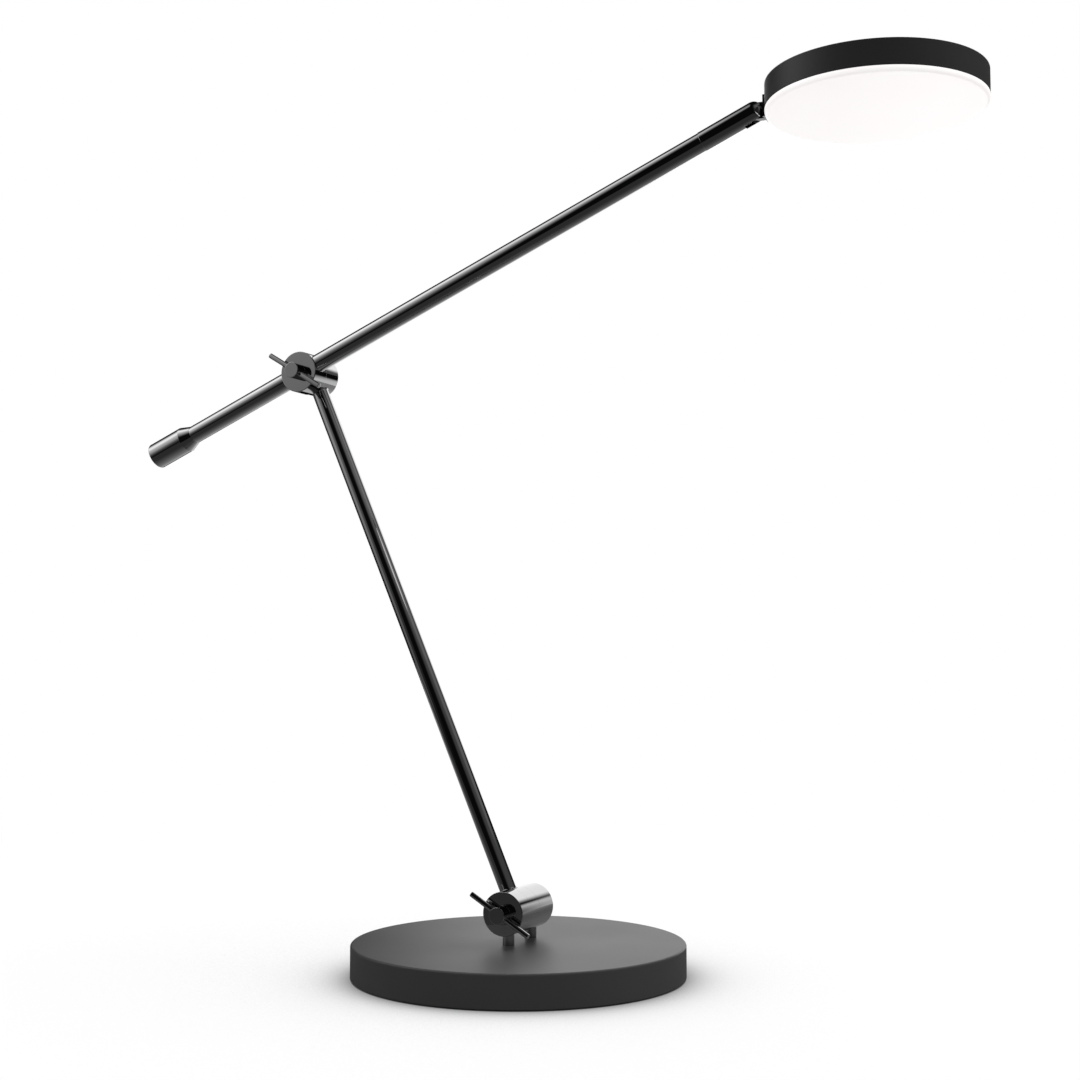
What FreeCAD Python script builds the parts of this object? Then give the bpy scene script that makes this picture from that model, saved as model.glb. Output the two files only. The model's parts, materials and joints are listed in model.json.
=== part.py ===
"""Balance desk lamp: a round weighted foot, two tubes on clamp joints, a counterweight and a flat LED head.

Millimetres, +Z up.  The origin is the middle of the foot's underside.  The arms move in planes
parallel to XZ: X points towards the head, and the clamp screws are on the front, at -Y.
"""
import FreeCAD, Part
import os
import re

import Sketcher
from FreeCAD import Placement, Rotation, Vector

# Driving dimensions in millimetres and degrees.  Every one is a cell of the sheet "Sizes".
SIZES = {
    # Foot
    "base_radius": 100.0,
    "base_height": 20.0,
    "base_edge": 1.2,           # rounding of the upper rim
    "cover_wall": 1.5,
    "cover_lift": 0.8,          # the cover's lower edge clears the table by this much
    "pad_thick": 2.0,
    "pad_inset": 5.0,           # the pad lies this far inside the base plate's edge
    "plate_thick": 2.0,
    "skirt_gap": 0.5,           # between the cover's wall and what it encloses
    "plate_screw_inset": 20.0,  # from the foot's edge in to the screws
    "plate_screw_radius": 2.0,
    "plate_screw_head": 3.8,
    "plate_screw_length": 10.0,
    "plate_land": 0.3,          # straight part of the hole above its countersink
    "thread_play": 0.05,
    # Driver in a pocket at the back of the ballast
    "pocket_width": 78.0,
    "pocket_depth": 46.0,
    "pocket_height": 10.5,
    "pocket_inset": 44.0,       # from the foot's back edge in to the pocket's middle
    "tape_thick": 0.5,
    "board_width": 66.0,
    "board_depth": 36.0,
    "board_thick": 1.6,
    "coil_radius": 7.0,
    "coil_height": 7.0,
    "capacitor_radius": 4.0,
    "capacitor_height": 7.5,
    "chip_width": 9.0,
    "chip_height": 2.0,
    "socket_width": 11.0,
    "socket_length": 13.0,
    "socket_height": 11.0,
    "socket_nose": 4.0,
    "socket_bore": 2.8,
    "socket_bore_depth": 9.0,
    "socket_pin": 1.0,
    "socket_play": 0.3,
    # Posts under the foot joint
    "post_radius": 3.5,
    "post_front": 13.3,
    "post_back": 17.0,
    "post_entry": 6.0,          # how far a post goes up into its knuckle
    "post_thread": 3.0,
    "post_hang": 11.4,          # threaded end below the foot's top face
    "nut_span": 10.0,
    "nut_height": 4.0,
    "washer_radius": 7.0,
    "washer_thick": 1.0,
    "nut_well": 8.0,
    "well_roof": 4.5,           # iron left above the nut wells
    "wire_radius": 0.9,
    "wire_bore": 1.2,
    "wire_bend": 3.2,
    # Foot joint
    "hinge_rise": 19.0,         # pivot axis above the foot's top face
    "barrel_radius": 13.0,
    "barrel_front": 21.3,
    "barrel_back": 21.3,
    "knuckle_width": 11.6,
    "barrel_edge": 0.5,
    "face_gap": 0.1,            # between faces that turn against each other
    "friction_radius": 6.6,
    "friction_thick": 1.0,
    "friction_play": 0.2,
    # Clamp screws with their cross bars
    "bolt_radius": 3.0,
    "bolt_play": 0.05,
    "bolt_end": 3.0,            # solid metal left behind the bolt's hole
    "bolt_short": 0.5,          # the bolt ends this far before the hole does
    "hub_radius": 5.0,
    "hub_length": 8.0,
    "hub_edge": 0.4,
    "bar_radius": 1.6,
    "bar_length": 43.6,
    "bar_stand": 4.0,           # from the barrel's face out to the cross bar
    "bar_slope": 31.0,
    "bar_play": 0.03,
    "bar_edge": 0.3,
    # Lower arm
    "lower_length": 363.6,      # pivot axis to pivot axis
    "lower_lean": 23.8,         # from upright towards -X
    "lower_forward": 3.15,      # the tube's axis in front of the foot's middle
    "lower_radius": 5.25,
    "lower_wall": 1.2,
    "saddle_gap": 0.05,
    "plug_play": 0.05,
    "plug_start": 4.6,          # from the pivot axis to the plug's end
    "plug_length": 26.0,
    "cable_radius": 1.3,
    "cable_play": 0.2,
    # Elbow joint
    "elbow_front": 21.8,
    "elbow_seam": 8.6,
    "elbow_back": 6.2,
    "elbow_radius": 13.0,
    "elbow_back_radius": 12.6,
    # Upper arm
    "upper_rise": 22.6,         # above level, towards the head
    "upper_forward": 15.28,
    "upper_offset": 0.9,        # the tube's axis passes above the pivot axis
    "upper_radius": 5.87,
    "upper_wall": 1.2,
    "tube_play": 0.05,
    "weight_radius": 8.6,
    "weight_length": 26.0,
    "weight_taper": 7.5,
    "weight_edge": 0.6,
    "tail_length": 92.5,        # from the pivot axis back to the tube's end
    "spigot_length": 20.0,
    "fork_radius": 6.13,
    "fork_length": 33.5,        # from the tube's end to the head's pivot
    "fork_reach": 328.5,        # from the elbow's axis to the head's pivot
    "slot_width": 5.1,
    "slot_depth": 7.5,
    "cable_start": 8.0,
    # Head
    "pivot_radius": 1.5,
    "pivot_play": 0.05,
    "pivot_head": 2.75,
    "pivot_head_height": 1.2,
    "pivot_sink": 1.8,          # depth of the seat for the screw's head
    "pivot_end": 1.2,           # metal left in front of the screw's end
    "spacer_radius": 4.4,
    "spacer_thick": 0.4,
    "tongue_thick": 4.1,
    "tongue_radius": 4.8,
    "flange_thick": 2.4,
    "flange_width": 11.0,
    "flange_height": 12.6,
    "flange_gap": 0.1,
    "bracket_screw": 1.25,
    "bracket_screw_head": 2.2,
    "bracket_screw_height": 1.5,
    "bracket_screw_side": 3.3,
    "bracket_skin": 0.6,        # metal left before the screws' ends
    "bracket_seat": 0.25,       # the flat heads stand off the curved wall at their middle
    "rim_radius": 60.9,
    "rim_height": 14.5,
    "rim_wall": 1.2,
    "rim_edge": 0.4,
    "rim_top": 2.0,
    "flange_play": 0.57,        # between the fork's end and the bracket's flange
    "head_rise": 1.4,           # the head's mid-height above the pivot
    "heat_gap": 2.7,            # between the heat spreader and the rim's inside
    "heat_thick": 2.0,
    "led_board_inset": 3.0,
    "led_board_thick": 1.2,
    "led_width": 3.0,
    "led_height": 0.7,
    "led_inset": 12.0,          # from the board's edge in to the outer ring of LEDs
    "led_ring_step": 20.0,
    "heat_screw_inset": 4.0,    # from the board's edge in to its screws
    "heat_screw_radius": 1.5,
    "heat_screw_head": 2.75,
    "heat_screw_height": 1.8,
    "heat_screw_bite": 1.2,
    "diffuser_gap": 0.15,
    "diffuser_wall": 2.0,
    "diffuser_depth": 3.0,      # part of its wall inside the rim
    "diffuser_proud": 3.0,      # part of it below the rim
    "diffuser_edge": 2.2,
}

OUTER_LEDS = 24
INNER_LEDS = 12
PLATE_SCREWS = 4
HEAT_SCREWS = 3
SPARE = 1.0                     # a cutting tool runs this far past the face it opens

os.makedirs("parts", exist_ok=True)
doc = FreeCAD.newDocument("balance_lamp")
sheet = doc.addObject("Spreadsheet::Sheet", "Sizes")
for row, (alias, number) in enumerate(SIZES.items(), start=1):
    sheet.set(f"A{row}", alias.replace("_", " "))
    sheet.set(f"B{row}", str(number))
    sheet.setAlias(f"B{row}", alias)
doc.recompute()

nodes = []

# Places worked out from the driving dimensions, as expressions over the sheet.
HINGE_Z = "(base_height + hinge_rise)"
ELBOW_X = "(-lower_length * sin(lower_lean))"
ELBOW_Z = f"({HINGE_Z} + lower_length * cos(lower_lean))"
PIVOT_X = f"({ELBOW_X} + fork_reach * cos(upper_rise) - upper_offset * sin(upper_rise))"
PIVOT_Z = f"({ELBOW_Z} + fork_reach * sin(upper_rise) + upper_offset * cos(upper_rise))"
PLATE_TOP = "(pad_thick + plate_thick)"
BALLAST_TOP = "(base_height - cover_wall)"
BALLAST_RADIUS = "(base_radius - cover_wall - skirt_gap)"
PLATE_RING = "(base_radius - plate_screw_inset)"
POCKET_MIDDLE = "(base_radius - pocket_inset)"
POCKET_BACK = f"({POCKET_MIDDLE} + pocket_depth / 2)"
POCKET_FRONT = f"({POCKET_MIDDLE} - pocket_depth / 2)"
SOCKET_Z = f"({PLATE_TOP} + socket_height / 2)"
SOCKET_BACK = "(base_radius - cover_wall - socket_play)"
BOARD_Z = f"({PLATE_TOP} + tape_thick)"
BOARD_TOP = f"({BOARD_Z} + board_thick)"
WELL_TOP = f"({BALLAST_TOP} - well_roof)"
POST_TOP = f"({HINGE_Z} - barrel_radius + post_entry)"
KNUCKLE_FRONT = "(-lower_forward - knuckle_width / 2)"
KNUCKLE_BACK = "(-lower_forward + knuckle_width / 2)"
LOWER_BORE = "(lower_radius - lower_wall)"
UPPER_BORE = "(upper_radius - upper_wall)"
TUBE_END = "(fork_reach - fork_length)"
RIM_X = "(fork_radius + flange_play + flange_thick)"
HEAD_X = f"({RIM_X} + rim_radius)"
RIM_TOP = "(head_rise + rim_height / 2)"
RIM_BOTTOM = "(head_rise - rim_height / 2)"
HEAT_BOTTOM = f"({RIM_TOP} - rim_top - heat_thick)"
LED_BOARD_BOTTOM = f"({HEAT_BOTTOM} - led_board_thick)"
DIFFUSER_RADIUS = "(rim_radius - rim_wall - diffuser_gap)"
HEAT_RADIUS = "(rim_radius - rim_wall - heat_gap)"
LED_BOARD_RADIUS = f"({HEAT_RADIUS} - led_board_inset)"
HEAT_RING = f"({LED_BOARD_RADIUS} - heat_screw_inset)"
OUTER_LED_RING = f"({LED_BOARD_RADIUS} - led_inset)"
INNER_LED_RING = f"({OUTER_LED_RING} - led_ring_step)"

UPRIGHT = Rotation()
ALONG_Y = Rotation(Vector(1, 0, 0), -90)
ALONG_X = Rotation(Vector(0, 1, 0), 90)


def tied(text):
    """Expression over the sheet: every word that is an alias is read from its cell."""
    return re.sub(r"[a-z][a-z_]*", lambda word: sheet_word(word.group()), text)


def sheet_word(word):
    """An alias with the sheet's name before it; any other word, such as sin, as it is."""
    return "Sizes." + word if word in SIZES else word


def size(alias):
    """Present value of one cell."""
    return float(sheet.get(alias))


def bind(item, **expressions):
    """Tie each named property of an item to an expression."""
    for name, text in expressions.items():
        item.setExpression(name, tied(text))
    return item


def put(item, x="0", y="0", z="0", turned_to=UPRIGHT):
    """Give an item its place; each coordinate is an expression."""
    item.Placement = Placement(Vector(), turned_to)
    for axis, text in (("x", x), ("y", y), ("z", z)):
        item.setExpression(f".Placement.Base.{axis}", tied(text))
    return item


def bar(name, radius, length, x="0", y="0", z="0", along=UPRIGHT):
    """Round bar that starts at the given point."""
    item = bind(doc.addObject("Part::Cylinder", name), Radius=radius, Height=length)
    return put(item, x, y, z, along)


def block(name, width, depth, height, x="0", y="0", z="0"):
    """Box whose underside is centred on the given point."""
    item = bind(doc.addObject("Part::Box", name), Length=width, Width=depth, Height=height)
    return put(item, f"{x} - ({width}) / 2", f"{y} - ({depth}) / 2", z)


def cone(name, low, high, height, x="0", y="0", z="0", along=UPRIGHT):
    """Cone frustum with its first end at the given point."""
    item = bind(doc.addObject("Part::Cone", name), Radius1=low, Radius2=high, Height=height)
    return put(item, x, y, z, along)


def joined(name, *items):
    """Items made into one solid."""
    fuse = doc.addObject("Part::MultiFuse", name)
    fuse.Shapes = list(items)
    return fuse


def cut(name, stock, *tools):
    """Stock with every tool taken out of it."""
    piece = doc.addObject("Part::Cut", name)
    piece.Base = stock
    piece.Tool = tools[0] if len(tools) == 1 else joined(name + "_tools", *tools)
    return piece


def group(name, items):
    """Identical pieces that stay separate solids of one node."""
    bundle = doc.addObject("Part::Compound", name)
    bundle.Links = list(items)
    return bundle


def origin_plane(body, role):
    """One of a body's own origin planes."""
    return next(plane for plane in body.Origin.OriginFeatures if plane.Role == role)


def outline_sketch(body, name, plane, points):
    """Closed outline of straight edges; each corner is a pair of expressions from the origin."""
    sketch = body.newObject("Sketcher::SketchObject", name)
    sketch.AttachmentSupport = [(origin_plane(body, plane), "")]
    sketch.MapMode = "FlatFace"
    count = len(points)
    for index in range(count):
        start = Vector(index + 1, index * index, 0)
        after = (index + 1) % count
        sketch.addGeometry(Part.LineSegment(start, Vector(after + 1, after * after, 0)), False)
    for index in range(count):
        sketch.addConstraint(Sketcher.Constraint("Coincident", index, 2, (index + 1) % count, 1))
    for index, corner in enumerate(points):
        pin_corner(sketch, index, *corner)
    return sketch


def pin_corner(sketch, index, across, up):
    """Hold one corner of a sketch at its distances from the origin."""
    for kind, axis, text in (("DistanceX", -2, across), ("DistanceY", -1, up)):
        if text == "0":
            sketch.addConstraint(Sketcher.Constraint("PointOnObject", index, 1, axis))
            continue
        number = sketch.addConstraint(Sketcher.Constraint(kind, -1, 1, index, 1, 1.0))
        label = f"{kind}_{index}"
        sketch.renameConstraint(number, label)
        sketch.setExpression(f".Constraints.{label}", tied(text))


def turned(name, points, about="z"):
    """Body turned about its own z or y axis from corners (radius, height along the axis)."""
    body = doc.addObject("PartDesign::Body", name)
    plane = "XZ_Plane" if about == "z" else "XY_Plane"
    sketch = outline_sketch(body, name + "_outline", plane, points)
    feature = body.newObject("PartDesign::Revolution", name + "_turned")
    feature.Profile = sketch
    feature.ReferenceAxis = (sketch, ["V_Axis"])
    feature.Angle = 360.0
    sketch.Visibility = False
    return body


def round_rim(body, rounding, radius, height):
    """Round the circular edge of a turned body that has this radius at this height."""
    doc.recompute()
    feature = body.Tip
    names = []
    for number, edge in enumerate(feature.Shape.Edges, start=1):
        box = edge.BoundBox
        flat = box.ZLength < 1e-4 and abs(box.ZMax - height) < 1e-3
        if flat and abs(box.XMax - radius) < 1e-3 and isinstance(edge.Curve, Part.Circle):
            names.append(f"Edge{number}")
    fillet = body.newObject("PartDesign::Fillet", body.Name + "_rounded")
    fillet.Base = (feature, names)
    bind(fillet, Radius=rounding)
    body.Tip = fillet
    return body


def ring_of_holes(body, name, radius, ring, count):
    """Round holes right through a flat body, evenly spaced on a ring."""
    doc.recompute()
    sketch = body.newObject("Sketcher::SketchObject", name + "_circle")
    sketch.AttachmentSupport = [(origin_plane(body, "XY_Plane"), "")]
    sketch.MapMode = "FlatFace"
    sketch.addGeometry(Part.Circle(Vector(10, 0, 0), Vector(0, 0, 1), 1), False)
    sketch.addConstraint(Sketcher.Constraint("PointOnObject", 0, 3, -1))
    sketch.addConstraint(Sketcher.Constraint("DistanceX", -1, 1, 0, 3, 10.0))
    sketch.addConstraint(Sketcher.Constraint("Radius", 0, 1.0))
    sketch.renameConstraint(1, "ring")
    sketch.renameConstraint(2, "hole")
    sketch.setExpression(".Constraints.ring", tied(ring))
    sketch.setExpression(".Constraints.hole", tied(radius))
    pocket = body.newObject("PartDesign::Pocket", name)
    pocket.Profile = sketch
    pocket.Type = "ThroughAll"
    pocket.Midplane = True
    pattern = body.newObject("PartDesign::PolarPattern", name + "_ring")
    pattern.Originals = [pocket]
    pattern.Axis = (sketch, ["N_Axis"])
    pattern.Angle = 360.0
    pattern.Occurrences = count
    body.Tip = pattern
    return body


def node(item, label):
    """Keep an item as a finished piece under its own name."""
    item.Label = label
    nodes.append((label, item))
    return item


def leaning(item, angle, axis):
    """Turn an item about an axis by an angle that stays tied to the sheet."""
    item.Placement = Placement(item.Placement.Base, Rotation(axis, 1.0))
    item.setExpression(".Placement.Rotation.Angle", tied(angle))
    return item


def on_lower_arm(item, label):
    """Finish a piece of the lower arm: local z runs from the foot joint to the elbow."""
    piece = put(group(label + "_piece", [item]), z=HINGE_Z)
    return node(leaning(piece, "lower_lean", Vector(0, -1, 0)), label)


def on_upper_arm(item, label):
    """Finish a piece of the upper arm: local z runs from the elbow towards the head."""
    piece = put(group(label + "_piece", [item]), ELBOW_X, "0", ELBOW_Z)
    return node(leaning(piece, "90 - upper_rise", Vector(0, 1, 0)), label)


def on_head(item, label):
    """Finish a piece of the head: its local frame is level and starts at the head's pivot."""
    return node(put(group(label + "_piece", [item]), PIVOT_X, "-upper_forward", PIVOT_Z), label)


def on_ring(count, ring, step_in=0.0):
    """Expressions for x and y of evenly spaced places on a ring."""
    angles = [360.0 * index / count + step_in for index in range(count)]
    return [(f"{ring} * cos({angle})", f"{ring} * sin({angle})") for angle in angles]


# ---------------------------------------------------------------- foot
def base_cover():
    """Drawn steel shell: a flat top and a straight wall, open underneath."""
    inner = "base_radius - cover_wall"
    shell = turned("base_cover_shell", [
        ("0", BALLAST_TOP),
        (inner, BALLAST_TOP),
        (inner, "cover_lift"),
        ("base_radius", "cover_lift"),
        ("base_radius", "base_height"),
        ("0", "base_height"),
    ])
    round_rim(shell, "base_edge", size("base_radius"), size("base_height"))
    hole = "post_thread + bolt_play"
    drop = f"cover_wall + 2 * {SPARE}"
    start = f"{BALLAST_TOP} - {SPARE}"
    holes = [
        bar("cover_hole_front", hole, drop, "0", "-post_front", start),
        bar("cover_hole_back", hole, drop, "0", "post_back", start),
        bar("cover_socket_hole", "socket_nose + socket_play", "3 * cover_wall", "0",
            "base_radius - 2 * cover_wall", SOCKET_Z, ALONG_Y),
    ]
    return node(cut("base_cover_cut", shell, *holes), "base_cover")


def base_weight():
    """Cast ballast disc with wells for the post nuts and a pocket for the driver."""
    height = f"{BALLAST_TOP} - {PLATE_TOP}"
    disc = bar("ballast_disc", BALLAST_RADIUS, height, z=PLATE_TOP)
    start = f"({PLATE_TOP} - {SPARE})"
    well = f"{WELL_TOP} - {start}"
    socket_run = f"base_radius - {POCKET_BACK} + 2 * {SPARE}"
    lead_run = f"{POCKET_FRONT} - post_back + {SPARE}"
    tools = [
        block("ballast_pocket", "pocket_width", "pocket_depth", f"pocket_height + {SPARE}",
              "0", POCKET_MIDDLE, start),
        block("ballast_socket_slot", "socket_width + 2 * socket_play", socket_run,
              f"socket_height + socket_play + {SPARE}",
              "0", f"{POCKET_BACK} - {SPARE} + ({socket_run}) / 2", start),
        block("ballast_lead_slot", "6 * wire_radius", lead_run, f"wire_bend + 2 * wire_radius + {SPARE}",
              "0", f"post_back + ({lead_run}) / 2", start),
    ]
    for name, y in (("front", "-post_front"), ("back", "post_back")):
        tools.append(bar(f"ballast_well_{name}", "nut_well", well, "0", y, start))
        tools.append(bar(f"ballast_hole_{name}", "post_thread + bolt_play", "base_height", "0", y, start))
    screw_hole = "plate_screw_radius + thread_play"
    for index, (x, y) in enumerate(on_ring(PLATE_SCREWS, PLATE_RING, 45.0)):
        depth = f"plate_screw_length - plate_thick + 2 * {SPARE}"
        tools.append(bar(f"ballast_screw_hole_{index}", screw_hole, depth, x, y, start))
    return node(cut("base_weight_cut", disc, *tools), "base_weight")


def base_plate():
    """Steel plate that closes the foot, with countersunk screw holes."""
    plate = turned("base_plate_body", [
        ("0", "pad_thick"),
        (BALLAST_RADIUS, "pad_thick"),
        (BALLAST_RADIUS, PLATE_TOP),
        ("0", PLATE_TOP),
    ])
    ring_of_holes(plate, "plate_holes", "plate_screw_radius + thread_play", PLATE_RING, PLATE_SCREWS)
    sinks = []
    for index, (x, y) in enumerate(on_ring(PLATE_SCREWS, PLATE_RING)):
        sinks.append(cone(f"plate_sink_{index}", "plate_screw_head + thread_play",
                          "plate_screw_radius + thread_play", "plate_thick - plate_land", x, y, "pad_thick"))
    piece = cut("base_plate_cut", plate, *sinks)
    piece.Placement = Placement(Vector(), Rotation(Vector(0, 0, 1), 45))
    return node(piece, "base_plate")


def base_plate_screws():
    """Four countersunk screws from the plate up into the ballast."""
    screws = []
    for index, (x, y) in enumerate(on_ring(PLATE_SCREWS, PLATE_RING, 45.0)):
        head = cone(f"plate_screw_head_{index}", "plate_screw_head", "plate_screw_radius",
                    "plate_thick - plate_land", x, y, "pad_thick")
        shank = bar(f"plate_screw_shank_{index}", "plate_screw_radius", "plate_screw_length",
                    x, y, "pad_thick")
        screws.append(joined(f"plate_screw_{index}", head, shank))
    return node(group("plate_screw_group", screws), "base_plate_screws")


def foot_pad():
    """Rubber pad under the base plate."""
    return node(bar("foot_pad_disc", f"{BALLAST_RADIUS} - pad_inset", "pad_thick"), "foot_pad")


def driver():
    """LED driver: adhesive tape, circuit board and its parts, and the low-voltage inlet socket."""
    node(block("tape_block", "board_width", "board_depth", "tape_thick", "0", POCKET_MIDDLE, PLATE_TOP),
         "driver_tape")
    node(block("board_block", "board_width", "board_depth", "board_thick", "0", POCKET_MIDDLE, BOARD_Z),
         "driver_board")
    quarter = "board_width / 4"
    parts = [
        bar("driver_coil", "coil_radius", "coil_height", f"-{quarter}", POCKET_MIDDLE, BOARD_TOP),
        bar("driver_capacitor", "capacitor_radius", "capacitor_height", quarter, POCKET_MIDDLE, BOARD_TOP),
        block("driver_chip", "chip_width", "chip_width", "chip_height", "0", POCKET_MIDDLE, BOARD_TOP),
    ]
    node(group("driver_part_group", parts), "driver_parts")
    housing = block("socket_housing", "socket_width", "socket_length", "socket_height", "0",
                    f"{SOCKET_BACK} - socket_length / 2", PLATE_TOP)
    nose = bar("socket_nose_bar", "socket_nose", "cover_wall + socket_play",
               "0", SOCKET_BACK, SOCKET_Z, ALONG_Y)
    bore = bar("socket_bore_bar", "socket_bore", f"socket_bore_depth + {SPARE}", "0",
               "base_radius - socket_bore_depth", SOCKET_Z, ALONG_Y)
    hollow = cut("socket_hollow", joined("socket_solid", housing, nose), bore)
    pin = bar("socket_pin_bar", "socket_pin", f"socket_bore_depth - {SPARE}", "0",
              f"base_radius - socket_bore_depth - {SPARE}", SOCKET_Z, ALONG_Y)
    node(joined("socket_with_pin", hollow, pin), "power_socket")


def base_lead():
    """Thin lead from the driver board along its slot, round a bend and up the hollow rear post."""
    level = f"({PLATE_TOP} + 1.5 * wire_radius)"
    run_start = "(post_back + wire_bend)"
    run_end = f"({POCKET_MIDDLE} - board_depth / 2)"
    run = bar("lead_run", "wire_radius", f"{run_end} - {run_start}", "0", run_start, level, ALONG_Y)
    bend = doc.addObject("Part::Torus", "lead_bend")
    bind(bend, Radius1="wire_bend", Radius2="wire_radius")
    bend.Angle3 = 90.0
    quarter_turn = Rotation(Vector(0, -1, 0), Vector(0, 0, -1), Vector(1, 0, 0), "XYZ")
    put(bend, "0", run_start, f"{level} + wire_bend", quarter_turn)
    rise_start = f"({level} + wire_bend)"
    rise = bar("lead_rise", "wire_radius", f"{POST_TOP} - {rise_start}", "0", "post_back", rise_start)
    return node(joined("lead_solid", run, bend, rise), "base_lead")


def post(name, y):
    """Hollow turned post with a threaded lower end."""
    shoulder = "base_height"
    top = POST_TOP
    body = turned(f"{name}_body", [
        ("wire_bore", f"{shoulder} - post_hang"),
        ("post_thread", f"{shoulder} - post_hang"),
        ("post_thread", shoulder),
        ("post_radius", shoulder),
        ("post_radius", top),
        ("wire_bore", top),
    ])
    put(body, "0", y, "0")
    return node(body, name)


def post_fixings():
    """Washers and hexagon nuts on the posts' threaded ends, inside the ballast."""
    washers = []
    nuts = []
    for name, y in (("front", "-post_front"), ("back", "post_back")):
        ring = bar(f"washer_disc_{name}", "washer_radius", "washer_thick",
                   "0", y, f"{WELL_TOP} - washer_thick")
        hole = bar(f"washer_hole_{name}", "post_thread + bolt_play", f"washer_thick + 2 * {SPARE}", "0", y,
                   f"{WELL_TOP} - washer_thick - {SPARE}")
        washers.append(cut(f"washer_{name}", ring, hole))
        bottom = f"{WELL_TOP} - washer_thick - nut_height"
        prism = doc.addObject("Part::Prism", f"nut_prism_{name}")
        prism.Polygon = 6
        bind(prism, Circumradius="nut_span / sqrt(3)", Height="nut_height")
        put(prism, "0", y, bottom)
        thread = bar(f"nut_thread_{name}", "post_thread + thread_play", f"nut_height + 2 * {SPARE}", "0", y,
                     f"{bottom} - {SPARE}")
        nuts.append(cut(f"nut_{name}", prism, thread))
    node(group("washer_group", washers), "post_washers")
    node(group("nut_group", nuts), "post_nuts")


# ---------------------------------------------------------------- foot joint
def barrel(name, radius, front, back):
    """Plain round section of a joint, turned about y, with small chamfers on both faces."""
    return turned(name, [
        ("0", front),
        (f"{radius} - barrel_edge", front),
        (radius, f"{front} + barrel_edge"),
        (radius, f"{back} - barrel_edge"),
        (f"{radius} - barrel_edge", back),
        ("0", back),
    ], about="y")


def recess(name, start, z="0"):
    """Tool for the shallow seat of a friction washer, as deep as the washer less the joint's gap."""
    depth = f"friction_thick - face_gap + {SPARE}"
    return bar(name, "friction_radius + friction_play", depth, "0", start, z, ALONG_Y)


def friction_washer(name, front):
    """Fibre washer round the bolt between two joint faces."""
    disc = bar(name + "_disc", "friction_radius", "friction_thick", "0", front, "0", ALONG_Y)
    hole = bar(name + "_hole", "bolt_radius + bolt_play", f"friction_thick + 2 * {SPARE}", "0",
               f"{front} - {SPARE}", "0", ALONG_Y)
    return cut(name + "_ring", disc, hole)


def post_seat(name, y):
    """Tool for the blind hole that takes a post's upper end."""
    return bar(name, "post_radius + bolt_play", "barrel_radius", "0", y, "-2 * barrel_radius + post_entry")


def foot_joint():
    """Front and rear knuckles on the posts, with a friction washer sunk in each."""
    front_face = f"({KNUCKLE_FRONT} - face_gap)"
    back_face = f"({KNUCKLE_BACK} + face_gap)"
    bore = "bolt_radius + bolt_play"
    front = cut(
        "front_knuckle_cut",
        barrel("front_knuckle_stock", "barrel_radius", "-barrel_front", front_face),
        bar("front_knuckle_bore", bore, "barrel_front", "0", f"-barrel_front - {SPARE}", "0", ALONG_Y),
        recess("front_knuckle_recess", f"{front_face} - friction_thick + face_gap"),
        post_seat("front_knuckle_seat", "-post_front"),
    )
    node(put(front, z=HINGE_Z), "front_knuckle")
    back = cut(
        "rear_knuckle_cut",
        barrel("rear_knuckle_stock", "barrel_radius", back_face, "barrel_back"),
        bar("rear_knuckle_bore", bore, f"barrel_back - bolt_end - {back_face} + {SPARE}", "0",
            f"{back_face} - {SPARE}", "0", ALONG_Y),
        recess("rear_knuckle_recess", f"{back_face} - {SPARE}"),
        post_seat("rear_knuckle_seat", "post_back"),
    )
    node(put(back, z=HINGE_Z), "rear_knuckle")
    washers = [
        friction_washer("foot_washer_front", f"{front_face} - friction_thick + face_gap"),
        friction_washer("foot_washer_back", KNUCKLE_BACK),
    ]
    node(put(group("foot_washer_group", washers), z=HINGE_Z), "foot_joint_washers")


def clamp_screw(name, face, back_end, x, z):
    """Turned hub and bolt along y, with a plain cross bar through the hub."""
    front = f"({face} - face_gap - hub_length)"
    end = f"({back_end} - bolt_end - bolt_short)"
    stock = turned(name + "_stock", [
        ("0", front),
        ("hub_radius - hub_edge", front),
        ("hub_radius", f"{front} + hub_edge"),
        ("hub_radius", f"{face} - face_gap"),
        ("bolt_radius", f"{face} - face_gap"),
        ("bolt_radius", f"{end} - hub_edge"),
        ("bolt_radius - hub_edge", end),
        ("0", end),
    ], about="y")
    hole = bar(name + "_cross_hole", "bar_radius + bar_play", "4 * hub_radius", "-2 * hub_radius",
               f"{face} - bar_stand", "0", ALONG_X)
    screw = cut(name + "_cut", stock, hole)
    cross = turned(name + "_bar_body", [
        ("0", "-bar_length / 2"),
        ("bar_radius - bar_edge", "-bar_length / 2"),
        ("bar_radius", "-bar_length / 2 + bar_edge"),
        ("bar_radius", "bar_length / 2 - bar_edge"),
        ("bar_radius - bar_edge", "bar_length / 2"),
        ("0", "bar_length / 2"),
    ])
    node(leaning(put(screw, x, "0", z), "bar_slope", Vector(0, 1, 0)), name)
    put(cross, x, f"{face} - bar_stand", z)
    node(leaning(cross, "90 + bar_slope", Vector(0, 1, 0)), name.replace("screw", "bar"))


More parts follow.
